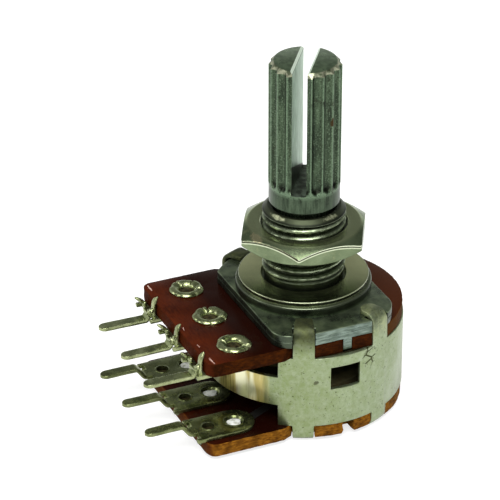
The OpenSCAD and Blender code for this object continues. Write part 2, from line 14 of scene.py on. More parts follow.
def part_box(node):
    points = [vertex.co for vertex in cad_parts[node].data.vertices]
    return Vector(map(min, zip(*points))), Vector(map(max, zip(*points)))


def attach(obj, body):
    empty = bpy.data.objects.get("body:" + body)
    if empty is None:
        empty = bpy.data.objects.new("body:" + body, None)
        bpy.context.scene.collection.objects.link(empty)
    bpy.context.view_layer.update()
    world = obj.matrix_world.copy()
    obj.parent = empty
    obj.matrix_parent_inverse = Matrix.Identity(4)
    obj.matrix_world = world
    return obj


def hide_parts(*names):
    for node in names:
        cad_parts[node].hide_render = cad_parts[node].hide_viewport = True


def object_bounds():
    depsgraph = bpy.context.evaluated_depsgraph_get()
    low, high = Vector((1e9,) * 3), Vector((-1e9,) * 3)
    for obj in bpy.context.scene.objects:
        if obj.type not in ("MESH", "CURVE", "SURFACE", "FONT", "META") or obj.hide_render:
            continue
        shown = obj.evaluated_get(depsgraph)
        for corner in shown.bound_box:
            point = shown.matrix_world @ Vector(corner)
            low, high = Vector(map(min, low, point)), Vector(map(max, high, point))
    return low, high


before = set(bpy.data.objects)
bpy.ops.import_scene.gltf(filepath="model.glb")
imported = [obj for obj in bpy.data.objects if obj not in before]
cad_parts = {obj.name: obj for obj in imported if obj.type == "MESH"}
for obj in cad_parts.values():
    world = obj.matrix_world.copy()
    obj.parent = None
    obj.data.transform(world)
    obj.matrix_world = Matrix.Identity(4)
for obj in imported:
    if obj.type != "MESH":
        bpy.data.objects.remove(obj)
cad_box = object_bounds()
scene = bpy.context.scene
MM = 0.001

# Camera of the photograph
# It stands 240 mm from the mounting face, towards +X and the pins, and looks down on the part.
camera_turn, camera_rise, camera_roll = math.radians(64.82), math.radians(29.32), math.radians(0.567)
camera_distance_mm = 240.0
pixels_per_mm = 11.87
image_px = 500
origin_px = (303.43, 275.15)
sensor_mm = 36.0

back = Vector((math.sin(camera_turn) * math.cos(camera_rise), -math.cos(camera_turn) * math.cos(camera_rise),
               math.sin(camera_rise)))
level = Vector((math.cos(camera_turn), math.sin(camera_turn), 0))
upright = back.cross(level)
across = level * math.cos(camera_roll) + upright * math.sin(camera_roll)
above = -level * math.sin(camera_roll) + upright * math.cos(camera_roll)
camera_data = bpy.data.cameras.new("camera")
camera = bpy.data.objects.new("camera", camera_data)
scene.collection.objects.link(camera)
camera.matrix_world = Matrix((across, above, back)).transposed().to_4x4()
camera.location = back * camera_distance_mm * MM
camera_data.sensor_width = sensor_mm
camera_data.lens = sensor_mm * camera_distance_mm * pixels_per_mm / image_px
camera_data.shift_x = (image_px / 2 - origin_px[0]) / image_px
camera_data.shift_y = (origin_px[1] - image_px / 2) / image_px
camera_data.clip_start, camera_data.clip_end = 0.01, 5
scene.camera = camera


# Table, room and lamps
# A white table in a white room, under a darker ceiling that the upper faces of the metal mirror.
def add(tree, kind, inputs=(), **settings):
    """Adds one shader node. inputs gives sockets by name or number a value, or another node's socket."""
    made = tree.nodes.new("ShaderNode" + kind)
    for key, value in settings.items():
        setattr(made, key, value)
    for key, value in dict(inputs).items():
        if isinstance(value, bpy.types.NodeSocket):
            tree.links.new(value, made.inputs[key])
        else:
            made.inputs[key].default_value = value
    return made


def show(name, shells, finishes, crease_deg=35):
    """Makes an object of closed shells. Each is its points in millimetres, its faces, and the number of its finish.

    Edges that turn by more than crease_deg stay sharp, and the rest is shaded smooth.
    """
    mesh = bpy.data.meshes.new(name)
    starts = np.cumsum([0] + [len(points) for points, faces, number in shells])
    points = np.concatenate([points for points, faces, number in shells])
    faces = [[corner + start for corner in face]
             for (spots, shell, number), start in zip(shells, starts) for face in shell]
    numbers = np.concatenate([np.broadcast_to(number, len(shell)) for spots, shell, number in shells])
    mesh.from_pydata(points * MM, [], faces)
    for made in finishes:
        mesh.materials.append(made)
    mesh.polygons.foreach_set("material_index", numbers.astype(np.int32))
    mesh.polygons.foreach_set("use_smooth", np.full(len(mesh.polygons), True))
    mesh.set_sharp_from_angle(angle=math.radians(crease_deg))
    mesh.update()
    piece = bpy.data.objects.new(name, mesh)
    scene.collection.objects.link(piece)
    return piece


floor_half_mm = 900.0
floor_z_mm = cad_box[0].z / MM - 0.02
floor_finish = bpy.data.materials.new("white_table")
floor_finish.use_nodes = True
floor_tree = floor_finish.node_tree
floor_tree.nodes.clear()
paint = add(floor_tree, "BsdfDiffuse", {"Color": (0.86, 0.86, 0.86, 1)})
faint = add(floor_tree, "BsdfDiffuse", {"Color": (0.38, 0.38, 0.38, 1)})
glow = add(floor_tree, "Emission", {"Color": (1, 1, 1, 1), "Strength": 0.75})
both = add(floor_tree, "AddShader", {0: faint.outputs[0], 1: glow.outputs[0]})
ray = add(floor_tree, "LightPath")
pick = add(floor_tree, "MixShader", {0: ray.outputs["Is Camera Ray"], 1: paint.outputs[0], 2: both.outputs[0]})
add(floor_tree, "OutputMaterial", {0: pick.outputs[0]})
corners_mm = np.array([(-1, -1), (1, -1), (1, 1), (-1, 1)]) * floor_half_mm
floor = show("floor", [(np.c_[corners_mm, np.full(4, floor_z_mm)], [(0, 1, 2, 3)], 0)], [floor_finish])

world = bpy.data.worlds.new("studio")
scene.world = world
world.use_nodes = True
sky = world.node_tree
sky.nodes.clear()
direction = add(sky, "TexCoord")
height = add(sky, "SeparateXYZ", {0: direction.outputs["Generated"]})
ceiling = add(sky, "MapRange", {0: height.outputs[2], 1: 0.05, 2: 0.42, 3: 0.95, 4: 0.2},
              interpolation_type="SMOOTHSTEP")
sky_ray = add(sky, "LightPath")
mirrored = add(sky, "Background", {"Color": (0.95, 1.0, 0.93, 1), "Strength": ceiling.outputs[0]})
soft = add(sky, "Background", {"Color": (0.97, 1.0, 0.96, 1), "Strength": 0.5})
plain = add(sky, "Background", {"Color": (1, 1, 1, 1), "Strength": 1.0})
seen_in_gloss = add(sky, "MixShader", {0: sky_ray.outputs["Is Glossy Ray"], 1: soft.outputs[0],
                                       2: mirrored.outputs[0]})
through = add(sky, "MixShader", {0: sky_ray.outputs["Is Transmission Ray"], 1: seen_in_gloss.outputs[0],
                                 2: plain.outputs[0]})
seen = add(sky, "MixShader", {0: sky_ray.outputs["Is Camera Ray"], 1: through.outputs[0], 2: plain.outputs[0]})
add(sky, "OutputWorld", {0: seen.outputs[0]})


def softbox(name, place_mm, size_mm, watts):
    """Square lamp at a place in millimetres, aimed at the middle of the part."""
    lamp = bpy.data.lights.new(name, "AREA")
    lamp.size = size_mm * MM
    lamp.energy = watts
    box = bpy.data.objects.new(name, lamp)
    scene.collection.objects.link(box)
    box.location = Vector(place_mm) * MM
    box.rotation_euler = (Vector((0, -2, 2)) * MM - box.location).to_track_quat("-Z", "Y").to_euler()


softbox("key", (178, -84, 352), 280, 2.0)
softbox("side", (-120, -300, 200), 160, 0.3)


# Bushing and plate
# One zinc die casting: plate, round boss, threaded bushing and the tongue that locates it in the boards.
# The thread is cut afterwards, and the casting's parting line shows half-way up the plate's edge.
def finish(name, colour, rough, metal=0.0, coat=0.0, specular=0.5):
    """A material with its plain colour, roughness, metalness and coat set on the shader's own sockets."""
    made = bpy.data.materials.new(name)
    made.use_nodes = True
    shader = made.node_tree.nodes["Principled BSDF"]
    for key, value in (("Base Color", (*colour, 1)), ("Roughness", rough), ("Metallic", metal),
                       ("Coat Weight", coat), ("Coat Roughness", 0.15), ("Specular IOR Level", specular)):
        shader.inputs[key].default_value = value
    return made, made.node_tree, shader


def grain(tree, size_mm, stretch=(1, 1, 1), detail=4.0, rough=0.55, place=(0, 0, 0)):
    """Noise from 0 to 1 whose features are about size_mm across, longer along an axis whose stretch is over 1."""
    where = add(tree, "TexCoord")
    scale = tuple(1 / (size_mm * MM * s) for s in stretch)
    turned = add(tree, "Mapping", {0: where.outputs["Object"], 1: place, 3: scale})
    return add(tree, "TexNoise", {"Vector": turned.outputs[0], "Scale": 1.0, "Detail": detail,
                                  "Roughness": rough}).outputs["Fac"]


def ramp(tree, value, low, high, to_low=0.0, to_high=1.0):
    """value carried from low..high to to_low..to_high, and held there outside."""
    return add(tree, "MapRange", {0: value, 1: low, 2: high, 3: to_low, 4: to_high}).outputs[0]


def times(tree, first, second):
    """Product of two numbers or sockets."""
    return add(tree, "Math", {0: first, 1: second}, operation="MULTIPLY").outputs[0]


def blend(tree, share, first, second):
    """Colour that goes from first to second as share goes from 0 to 1. Each is a colour or a socket."""
    made = tree.nodes.new("ShaderNodeMix")
    made.data_type = "RGBA"
    for number, value in ((0, share), (6, first), (7, second)):
        if isinstance(value, bpy.types.NodeSocket):
            tree.links.new(value, made.inputs[number])
        elif number == 0:
            made.inputs[number].default_value = value
        else:
            made.inputs[number].default_value = (*value, 1)
    return made.outputs[2]


def relief(tree, shader, height, depth_mm, strength=1.0):
    """Bump of depth_mm for a height from 0 to 1."""
    bump = add(tree, "Bump", {"Height": height, "Distance": depth_mm * MM, "Strength": strength})
    tree.links.new(bump.outputs[0], shader.inputs["Normal"])


def spot(tree, middle_mm, radii_mm):
    """1 inside an ellipsoid at a place of the object, soft at its edge and torn by noise, and 0 outside."""
    where = add(tree, "TexCoord")
    scale = tuple(1 / (r * MM) for r in radii_mm)
    shift = tuple(-m / r for m, r in zip(middle_mm, radii_mm))
    near = add(tree, "Mapping", {0: where.outputs["Object"], 1: shift, 3: scale})
    away = add(tree, "VectorMath", {0: near.outputs[0]}, operation="LENGTH").outputs["Value"]
    torn = add(tree, "Math", {0: away, 1: ramp(tree, grain(tree, 0.25, detail=3), 0.3, 0.7, -0.35, 0.35)},
               operation="ADD").outputs[0]
    return ramp(tree, torn, 1.1, 0.7)


def place_in(tree):
    """Sockets of x, y and z in the object, in metres, and of the distance from the shaft's axis."""
    where = add(tree, "TexCoord")
    parts = add(tree, "SeparateXYZ", {0: where.outputs["Object"]})
    flat = add(tree, "VectorMath", {0: where.outputs["Object"], 1: (1, 1, 0)}, operation="MULTIPLY")
    radius = add(tree, "VectorMath", {0: flat.outputs[0]}, operation="LENGTH").outputs["Value"]
    return (*parts.outputs, radius)


def round_trip(radius, height, columns, start=0.0):
    """Carries profile points round the axis. radius and height have a row for each profile point."""
    turn = start + np.linspace(0, 2 * math.pi, columns, endpoint=False)
    radius, height = (np.broadcast_to(np.asarray(v, float).reshape(len(v), -1), (len(v), columns))
                      for v in (radius, height))
    return np.stack([radius * np.cos(turn), radius * np.sin(turn), height], -1)


def sheet_of(grid, number=0, ring=True):
    """Closed shell over a grid (rows, columns, 3) whose columns run round.

    As a ring the last row joins the first. Otherwise the first and last rows are closed by flat faces.
    """
    rows, columns = grid.shape[:2]
    index = np.arange(rows * columns).reshape(rows, columns)
    low, high = (index, np.roll(index, -1, 0)) if ring else (index[:-1], index[1:])
    quads = np.stack([low, np.roll(low, -1, 1), np.roll(high, -1, 1), high], -1).reshape(-1, 4).tolist()
    caps = [] if ring else [index[0, ::-1].tolist(), index[-1].tolist()]
    return grid.reshape(-1, 3), quads + caps, number


def softened(corners, reach_mm, steps=3):
    """Rounds the corners of a closed profile (corners, columns, 2).

    Each corner becomes a quadratic curve that starts reach_mm before it and ends reach_mm after it.
    """
    reach = np.broadcast_to(np.asarray(reach_mm, float), len(corners)).reshape(-1, 1, 1)
    ends = []
    for shift in (1, -1):
        side = np.roll(corners, shift, 0) - corners
        length = np.maximum(np.linalg.norm(side, axis=-1, keepdims=True), 1e-9)
        ends.append(corners + side / length * np.minimum(reach, 0.45 * length))
    t = np.linspace(0, 1, steps + 1).reshape(1, -1, 1, 1)
    curve = (1 - t) ** 2 * ends[0][:, None] + 2 * t * (1 - t) * corners[:, None] + t ** 2 * ends[1][:, None]
    return curve.reshape(-1, *corners.shape[1:])


def turned(corners, reach_mm, columns=192, steps=3, number=0):
    """Closed ring of revolution from a counter-clockwise profile of (radius, height) corners."""
    profile = softened(np.asarray(corners, float)[:, None, :], reach_mm, steps)
    return sheet_of(round_trip(profile[..., 0], profile[..., 1], columns), number)


def ripple(points_mm, size_mm, seed):
    """Smooth waves from -1 to 1: the mean of five sines along fixed chance directions, about size_mm long."""
    chance = np.random.default_rng(seed)
    ways = chance.normal(size=(5, 3))
    ways /= np.linalg.norm(ways, axis=1, keepdims=True) * size_mm * chance.uniform(0.7, 1.5, (5, 1))
    return np.sin(2 * math.pi * (points_mm @ ways.T) + chance.uniform(0, 2 * math.pi, 5)).mean(-1)


def rims(name, z_mm):
    """Outlines of a CAD node's flat face at one height, read from the edges that only one of its triangles has.

    The first is the outer one, counter-clockwise, and the rest are holes, clockwise.
    """
    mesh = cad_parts[name].data
    points = np.empty(len(mesh.vertices) * 3)
    mesh.vertices.foreach_get("co", points)
    corners = np.empty(len(mesh.loops), np.int64)
    mesh.loops.foreach_get("vertex_index", corners)
    places, same = np.unique((points.reshape(-1, 3) / MM).round(4), axis=0, return_inverse=True)
    triangles = same.reshape(-1)[corners].reshape(-1, 3)
    flat = triangles[(np.abs(places[triangles, 2] - z_mm) < 0.002).all(1)]
    edges = np.concatenate([flat[:, [0, 1]], flat[:, [1, 2]], flat[:, [2, 0]]])
    known = {(a, b) for a, b in edges.tolist()}
    onward = {a: b for a, b in sorted(known) if (b, a) not in known}
    loops = []
    while onward:
        spot, after = onward.popitem()
        loop = [spot]
        while after != loop[0]:
            loop.append(after)
            after = onward.pop(after)
        loops.append(places[loop, :2])
    areas = [0.5 * np.sum(l[:, 0] * np.roll(l[:, 1], -1) - l[:, 1] * np.roll(l[:, 0], -1)) for l in loops]
    order = np.argsort(-np.abs(areas))
    sign = 1 if areas[order[0]] > 0 else -1
    return [loops[i][::sign] for i in order]


def evenly(loop, gap_mm):
    """A closed outline with points gap_mm or more apart along its sides that keeps every corner of the old one."""
    made = []
    for start, end in zip(loop, np.roll(loop, -1, 0)):
        count = max(1, int(np.linalg.norm(end - start) / gap_mm))
        made.append(start + (end - start) * np.arange(count)[:, None] / count)
    return np.concatenate(made)


def outward(loop):
    """Directions that point out of the material along an outline: to the right of the way it runs."""
    ahead = np.roll(loop, -1, 0) - loop
    behind = loop - np.roll(loop, 1, 0)
    ahead, behind = (v / np.maximum(np.linalg.norm(v, axis=1, keepdims=True), 1e-9) for v in (ahead, behind))
    side = ahead + behind
    side = np.stack([side[:, 1], -side[:, 0]], 1)
    length = np.maximum(np.linalg.norm(side, axis=1, keepdims=True), 0.7)
    return side / length ** 2 * 2


def slab(loops, low, high, round_mm, gap_mm=0.2, levels=(), push=None, face=0, wall=0, steps=3):
    """Plate between two heights with rounded edges: rings round each outline, and flat faces with their holes.

    levels are heights of more rings, each with how far it stands out. push adds a distance outwards for every
    ring point from its place and its height.
    """
    t = np.linspace(0, math.pi / 2, steps + 1)
    inset, drop = round_mm * (1 - np.cos(t)), round_mm * (1 - np.sin(t))
    rings = [(low + d, -i) for d, i in zip(drop[::-1], inset[::-1])]
    rings += [(z, out) for z, out in levels]
    rings += [(high - d, -i) for d, i in zip(drop, inset)]
    points, faces, numbers, top_loops, start = [], [], [], [], 0
    for loop in loops:
        loop = evenly(np.asarray(loop, float), gap_mm)
        side = outward(loop)
        grid = []
        for z, out in rings:
            spot = np.c_[loop, np.full(len(loop), z)]
            reach = out if push is None else out + push(spot)[:, None]
            grid.append(np.c_[loop + side * reach, spot[:, 2]])
        grid = np.array(grid)
        rows, columns = grid.shape[:2]
        index = start + np.arange(rows * columns).reshape(rows, columns)
        quads = np.stack([index[:-1], np.roll(index[:-1], -1, 1), np.roll(index[1:], -1, 1), index[1:]], -1)
        faces += quads.reshape(-1, 4).tolist()
        points.append(grid.reshape(-1, 3))
        top_loops.append((index[0], index[-1]))
        start += rows * columns
    points = np.concatenate(points)
    numbers = [wall] * len(faces)
    for end in (0, 1):
        spots = np.concatenate([pair[end] for pair in top_loops])
        flat = [Vector(p) for p in points[spots, :2]]
        edges, first = [], 0
        for pair in top_loops:
            count = len(pair[end])
            edges += [(first + i, first + (i + 1) % count) for i in range(count)]
            first += count
        made = geometry.delaunay_2d_cdt(flat, edges, [], 0, 1e-7)
        triangles = np.array(made[2])
        middles = np.array(made[0])[triangles].mean(1)
        inside = np.zeros(len(middles), bool)
        for pair in top_loops:
            a = points[pair[end], :2]
            b = np.roll(a, -1, 0)
            crosses = (a[None, :, 1] > middles[:, None, 1]) != (b[None, :, 1] > middles[:, None, 1])
            with np.errstate(divide="ignore", invalid="ignore"):
                at = a[:, 0] + (middles[:, None, 1] - a[:, 1]) / (b[:, 1] - a[:, 1]) * (b[:, 0] - a[:, 0])
            inside ^= (crosses & (middles[:, None, 0] < at)).sum(1) % 2 == 1
        triangles = spots[triangles[inside]]
        faces += (triangles if end else triangles[:, ::-1]).tolist()
        numbers += [face] * len(triangles)
    return points, faces, np.array(numbers)


def zinc_finish():
    """Die-cast zinc: dull grey-green, mottled, with fine sandy grain and scratches, and painted shade and highlights on
    the plate's sides, the boss, the thread and the bushing's top.
    """
    made, tree, shader = finish("die_cast_zinc", (0.2, 0.26, 0.2), 0.42, 0.9)
    mottle = grain(tree, 1.6, detail=6)
    sand = grain(tree, 0.14, detail=4)
    scratch = grain(tree, 0.09, stretch=(1, 14, 1), detail=2, place=(4, 1, 0))
    worn = grain(tree, 0.5, detail=5, place=(2, 6, 1))
    colour = blend(tree, ramp(tree, mottle, 0.35, 0.65), (0.045, 0.06, 0.042), (0.21, 0.26, 0.16))
    marked = blend(tree, ramp(tree, scratch, 0.62, 0.74, 0, 0.5), colour, (0.36, 0.42, 0.3))
    x, y, z, radius = place_in(tree)
    flow = grain(tree, 0.2, stretch=(1, 5, 1), detail=5, place=(1, 1, 7))
    fresh = blend(tree, ramp(tree, flow, 0.35, 0.65), (0.07, 0.1, 0.085), (0.25, 0.32, 0.28))
    # Painted shade: the plate's sides below its top are near-black, except the +X face, which keeps the streaked
    # colour.
    side = blend(tree, ramp(tree, x, 0.0077, 0.0079), (0.035, 0.045, 0.032), fresh)
    cast = blend(tree, times(tree, ramp(tree, z, -0.00084, -0.0009), 0.8), marked, side)
    # Painted light on the boss: its side is painted near-black as shade, and its rounded top edge paler as a highlight.
    boss = times(tree, ramp(tree, radius, 0.00577, 0.00575), ramp(tree, z, -0.0008, -0.0006))
    boss_side = blend(tree, ramp(tree, z, -0.0001, -0.00004), (0.02, 0.025, 0.015), (0.12, 0.14, 0.09))
    cast = blend(tree, times(tree, boss, 0.9), cast, boss_side)
    # Thread: its grooves are painted dark as shade, and its crests are paler in worn patches that also stand for
    # painted glints.
    thread = times(tree, ramp(tree, radius, 0.00362, 0.00358), ramp(tree, z, 0.0001, 0.0003))
    crest = blend(tree, ramp(tree, worn, 0.35, 0.65), (0.12, 0.15, 0.085), (0.36, 0.42, 0.28))
    flank = blend(tree, ramp(tree, radius, 0.0033, 0.00347), (0.03, 0.038, 0.02), crest)
    # Bushing's top chamfer: its lower part is painted near-black as shade, and two patches carry painted glints.
    mouth_painted_shade = blend(tree, ramp(tree, z, 0.00658, 0.00662), (0.006, 0.008, 0.004), (0.035, 0.042, 0.022))
    mouth = blend(tree, ramp(tree, z, 0.00642, 0.00648), flank, mouth_painted_shade)
    glint = grain(tree, 0.35, detail=5, place=(3, 3, 0))
    for patch in (spot(tree, (1.38, -3.01, 6.76), (1.1, 0.5, 0.14)), spot(tree, (2.95, 0.9, 6.76), (0.5, 0.8, 0.14))):
        mouth = blend(tree, times(tree, patch, ramp(tree, glint, 0.4, 0.55)), mouth, (0.42, 0.44, 0.28))
    tree.links.new(blend(tree, times(tree, thread, 0.9), cast, mouth), shader.inputs["Base Color"])
    dull = times(tree, ramp(tree, z, 0.00642, 0.00652), 0.16)
    tree.links.new(add(tree, "Math", {0: ramp(tree, mottle, 0.25, 0.75, 0.22, 0.36), 1: dull},
                       operation="ADD").outputs[0], shader.inputs["Roughness"])
    relief(tree, shader, worn, 0.016, 0.6)
    return made


zinc = zinc_finish()
plate_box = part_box("bushing_plate")
mount_z_mm, plate_top_mm, plate_bottom_mm = 0.0, -0.8, -2.0
thread_r_mm, thread_root_mm, thread_pitch_mm, bore_r_mm = 3.5, 3.14, 0.75, 2.5
bushing_top_mm = plate_box[1].z / MM
spigot_low_mm = -2.85
boss_r_mm = 5.75
thread_low_mm, thread_high_mm = 0.85, bushing_top_mm - 0.2


def bushing_shell():
    """Ring whose outer wall carries a helical groove.

    Radius at height z and turn a: crest minus depth times a rounded V wave of (z / pitch - a / turn), faded out
    at both ends of the thread, where the wall stays plain.
    """
    columns = 240
    mouth = 0.42
    lower = softened(np.array([(bore_r_mm, spigot_low_mm), (spigot_r_mm, spigot_low_mm),
                               (spigot_r_mm, plate_top_mm - 0.05), (boss_r_mm, plate_top_mm - 0.05),
                               (boss_r_mm, -0.12), (boss_r_mm - 0.1, mount_z_mm),
                               (thread_root_mm + 0.1, mount_z_mm)])[:, None, :], 0.07)
    rows = np.arange(0.05, bushing_top_mm - mouth + 0.001, 0.028)
    upper = softened(np.array([(thread_r_mm, bushing_top_mm - mouth), (thread_r_mm - mouth, bushing_top_mm),
                               (bore_r_mm + 0.34, bushing_top_mm), (bore_r_mm, bushing_top_mm - 0.34),
                               (bore_r_mm, spigot_low_mm)])[:, None, :], 0.05)
    turn = np.linspace(0, 2 * math.pi, columns, endpoint=False)
    phase = (rows[:, None] / thread_pitch_mm - turn / (2 * math.pi)) % 1
    wave = np.clip((np.abs(phase - 0.5) - 0.06) / 0.34, 0, 1)
    fade = np.clip((rows - thread_low_mm) / 0.5, 0, 1) * np.clip((thread_high_mm - rows) / 0.15, 0, 1)
    depth = (thread_r_mm - thread_root_mm) * (1 - wave ** 0.9) * fade[:, None]
    plain = np.where(rows < thread_low_mm, thread_root_mm + 0.18, thread_r_mm)[:, None]
    wall_r = np.minimum(thread_r_mm, np.maximum(plain, thread_r_mm - 0.03)) - depth
    neck = 0.16 * np.clip((thread_low_mm + 0.25 - rows) / 0.25, 0, 1)[:, None]
    wall = np.stack([wall_r - neck, np.broadcast_to(rows[:, None], wall_r.shape)], -1)
    lower, upper = (np.broadcast_to(part, (len(part), columns, 2)) for part in (lower[1:-1], upper[:-1]))
    profile = np.concatenate([lower, wall, upper])
    return sheet_of(round_trip(profile[..., 0], profile[..., 1], columns))


spigot_r_mm = 3.55
tongue_y_mm, tongue_half_mm, tongue_t_mm, tongue_low_mm = 0.35, 0.375, 0.8, -3.02
plate_x_mm = 7.95
plate_edge = rims("bushing_plate", plate_bottom_mm)[0]
beside_tongue = (np.abs(plate_edge[:, 1] - tongue_y_mm) < tongue_half_mm + 0.02) & (plate_edge[:, 0] > 6)
plate_loops = [plate_edge[~beside_tongue]]
at_tabs = (np.abs(plate_loops[0][:, 1]) < 2.5) & (plate_loops[0][:, 0] > 7.6)
plate_loops[0][at_tabs] = [(plate_x_mm, 2.578 * np.sign(y)) for x, y in plate_loops[0][at_tabs]]
plate_loops[1:] = [np.stack([np.cos(a), -np.sin(a)], 1) * (bore_r_mm + 0.5)
                   for a in [np.linspace(0, 2 * math.pi, 72, endpoint=False)]]
parting_mm = (plate_top_mm + plate_bottom_mm) / 2
tongue_loop = np.array([(plate_x_mm - (1 - s) * tongue_t_mm / 2, tongue_y_mm + t * tongue_half_mm)
                        for s, t in ((-1, -1), (1, -1), (1, 1), (-1, 1))])
casting = show("bushing_casting", [
    bushing_shell(),
    slab(plate_loops, plate_bottom_mm, plate_top_mm, 0.08, gap_mm=0.2,
         levels=[(parting_mm - 0.05, 0), (parting_mm - 0.02, -0.04), (parting_mm + 0.02, -0.04),
                 (parting_mm + 0.05, 0.0)],
         push=lambda spot: 0.014 * ripple(spot, 1.3, 4)),
    slab([tongue_loop], tongue_low_mm, plate_bottom_mm + 0.2, 0.06)], [zinc])
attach(casting, "housing")
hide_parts("bushing_plate")


# Washer
# Stamped from plated steel sheet: its upper rim is drawn round by the punch, and the lower one is sharp.
def steel_finish(name, dark, pale):
    """Plated stamped steel: olive satin between a dark and a pale tone, with faint rolling lines.

    Returns the material, its tree and shader, and the colour before any marks.
    """
    made, tree, shader = finish(name, dark, 0.3, 0.95)
    cloud = grain(tree, 2.4, detail=5)
    fine = grain(tree, 0.12, stretch=(7, 1, 1), detail=3)
    rub = grain(tree, 0.8, detail=6, place=(5, 2, 3))
    colour = blend(tree, ramp(tree, cloud, 0.3, 0.7), dark, pale)
    marked = blend(tree, ramp(tree, rub, 0.6, 0.72, 0, 0.4), colour, (0.4, 0.4, 0.22))
    tree.links.new(ramp(tree, fine, 0.3, 0.7, 0.17, 0.27), shader.inputs["Roughness"])
    relief(tree, shader, cloud, 0.02, 0.3)
    return made, tree, shader, marked


def washer_finish():
    """Plated steel, painted golden at the back and dark at the front as reflections, with painted highlight lines on
    its rim.
    """
    made, tree, shader, colour = steel_finish("plated_washer", (0.25, 0.3, 0.15), (0.42, 0.45, 0.24))
    x, y, z, radius = place_in(tree)
    ahead = add(tree, "Math", {0: times(tree, x, 0.9), 1: times(tree, y, 0.43)}, operation="SUBTRACT").outputs[0]
    # Painted reflections: the washer is golden towards the back and dark at the front.
    golden = blend(tree, ramp(tree, ahead, 0.0028, -0.0012, 0, 0.85), colour, (0.85, 0.87, 0.5))
    painted_dark_front = blend(tree, ramp(tree, ahead, 0.0012, 0.0042, 0, 0.92), golden, (0.03, 0.038, 0.018))
    top = washer_h_mm * MM
    # Painted highlights: pale lines at the rim's lower and upper edges, with its wall painted dark as shade between
    # them.
    wall = blend(tree, ramp(tree, z, 0.0001, 0.00016), (0.4, 0.44, 0.28), (0.03, 0.035, 0.02))
    side = blend(tree, ramp(tree, z, top - 0.0001, top - 0.00006), wall, (0.46, 0.5, 0.33))
    edge = blend(tree, ramp(tree, radius, 0.00541, 0.00544), painted_dark_front, side)
    tree.links.new(edge, shader.inputs["Base Color"])
    return made


washer_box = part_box("washer")
washer_r_mm, washer_h_mm = washer_box[1].x / MM, washer_box[1].z / MM
washer = show("flat_washer", [turned([(3.6, 0), (washer_r_mm, 0), (washer_r_mm, washer_h_mm),
                                      (3.6, washer_h_mm)], [0.04, 0.05, 0.05, 0.06], steps=4)], [washer_finish()])
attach(washer, "housing")
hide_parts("washer")


# Nut
# Hexagonal, turned from plated steel bar: both faces are chamfered to a cone, which cuts curved edges on the
# flats, and the bore is tapped.
nut_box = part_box("nut")
nut_low_mm, nut_high_mm = nut_box[0].z / MM, nut_box[1].z / MM
nut_flats_mm, nut_turn_deg = 10.0, -29.0
nut_face_r_mm, nut_chamfer_slope = 4.72, 0.63


def nut_shell():
    """Ring whose outer radius is the hexagon's, flat / cos(angle from the flat's middle).

    Each face ends in a cone from nut_face_r_mm outwards, so its edge on a flat dips towards the corners. The
    tool has left a small burr along that edge.
    """
    columns = 384
    turn = np.linspace(0, 2 * math.pi, columns, endpoint=False)
    from_flat = (turn - math.radians(nut_turn_deg)) % (math.pi / 3) - math.pi / 6
    hexagon = nut_flats_mm / 2 / np.cos(from_flat)
    hexagon -= 0.05 * np.exp(-((np.abs(from_flat) - math.pi / 6) / 0.012) ** 2)
    dip = (hexagon - nut_face_r_mm) * nut_chamfer_slope
    bore, lead, burr = thread_r_mm - 0.06, 0.3, 0.03
    flat = np.ones(columns)

    def ring(radius, height):
        return np.stack([radius * flat, height * flat], -1)

    corners = np.array([ring(bore + lead, nut_low_mm), ring(nut_face_r_mm, nut_low_mm),
                        ring(hexagon + burr, nut_low_mm + dip), ring(hexagon, nut_low_mm + dip + 0.1),
                        ring(hexagon, nut_high_mm - dip - 0.1), ring(hexagon + burr, nut_high_mm - dip),
                        ring(nut_face_r_mm, nut_high_mm), ring(bore + lead, nut_high_mm),
                        ring(bore, nut_high_mm - lead), ring(bore, nut_low_mm + lead)])
    profile = softened(corners, [0.05, 0.1, 0.04, 0.05, 0.05, 0.04, 0.1, 0.05, 0.05, 0.05], 4)
    return sheet_of(round_trip(profile[..., 0], profile[..., 1], columns))


def nut_finish():
    """Plated steel, paler on its faces than on its flats, with one painted warm highlight.

    The turned edge on a flat shows as two painted highlight lines with a painted dark line of shade between them. They
    follow the depth under the cone of the chamfer, which is the cone's height at that radius minus the height.
    """
    made, tree, shader, plain = steel_finish("plated_nut", (0.115, 0.15, 0.08), (0.23, 0.285, 0.165))
    x, y, z, radius = place_in(tree)
    cone = ramp(tree, radius, nut_face_r_mm * MM, 0.006, nut_high_mm * MM,
                nut_high_mm * MM - (0.006 - nut_face_r_mm * MM) * nut_chamfer_slope)
    depth = add(tree, "Math", {0: cone, 1: z}, operation="SUBTRACT").outputs[0]
    colour = plain
    # Painted highlight lines and a painted dark line of shade along the chamfer's edge on each flat.
    for low, high, line in ((0.00002, 0.0001, (0.9, 0.95, 0.72)), (0.00011, 0.00022, (0.03, 0.038, 0.018)),
                            (0.00023, 0.00032, (0.62, 0.68, 0.48))):
        within = times(tree, ramp(tree, depth, low - 0.00001, low), ramp(tree, depth, high + 0.00001, high))
        colour = blend(tree, within, colour, line)
    face = blend(tree, ramp(tree, z, 0.00515, 0.0053, 0, 0.55), colour, (0.44, 0.48, 0.27))
    # Painted highlight: a warm patch on the face.
    warm = blend(tree, times(tree, spot(tree, (1.1, -4.9, 5.2), (0.9, 0.4, 0.3)), 0.6), face, (0.6, 0.52, 0.32))
    tree.links.new(warm, shader.inputs["Base Color"])
    return made


nut = show("hexagon_nut", [nut_shell()], [nut_finish()])
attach(nut, "panel_nut")
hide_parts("nut")


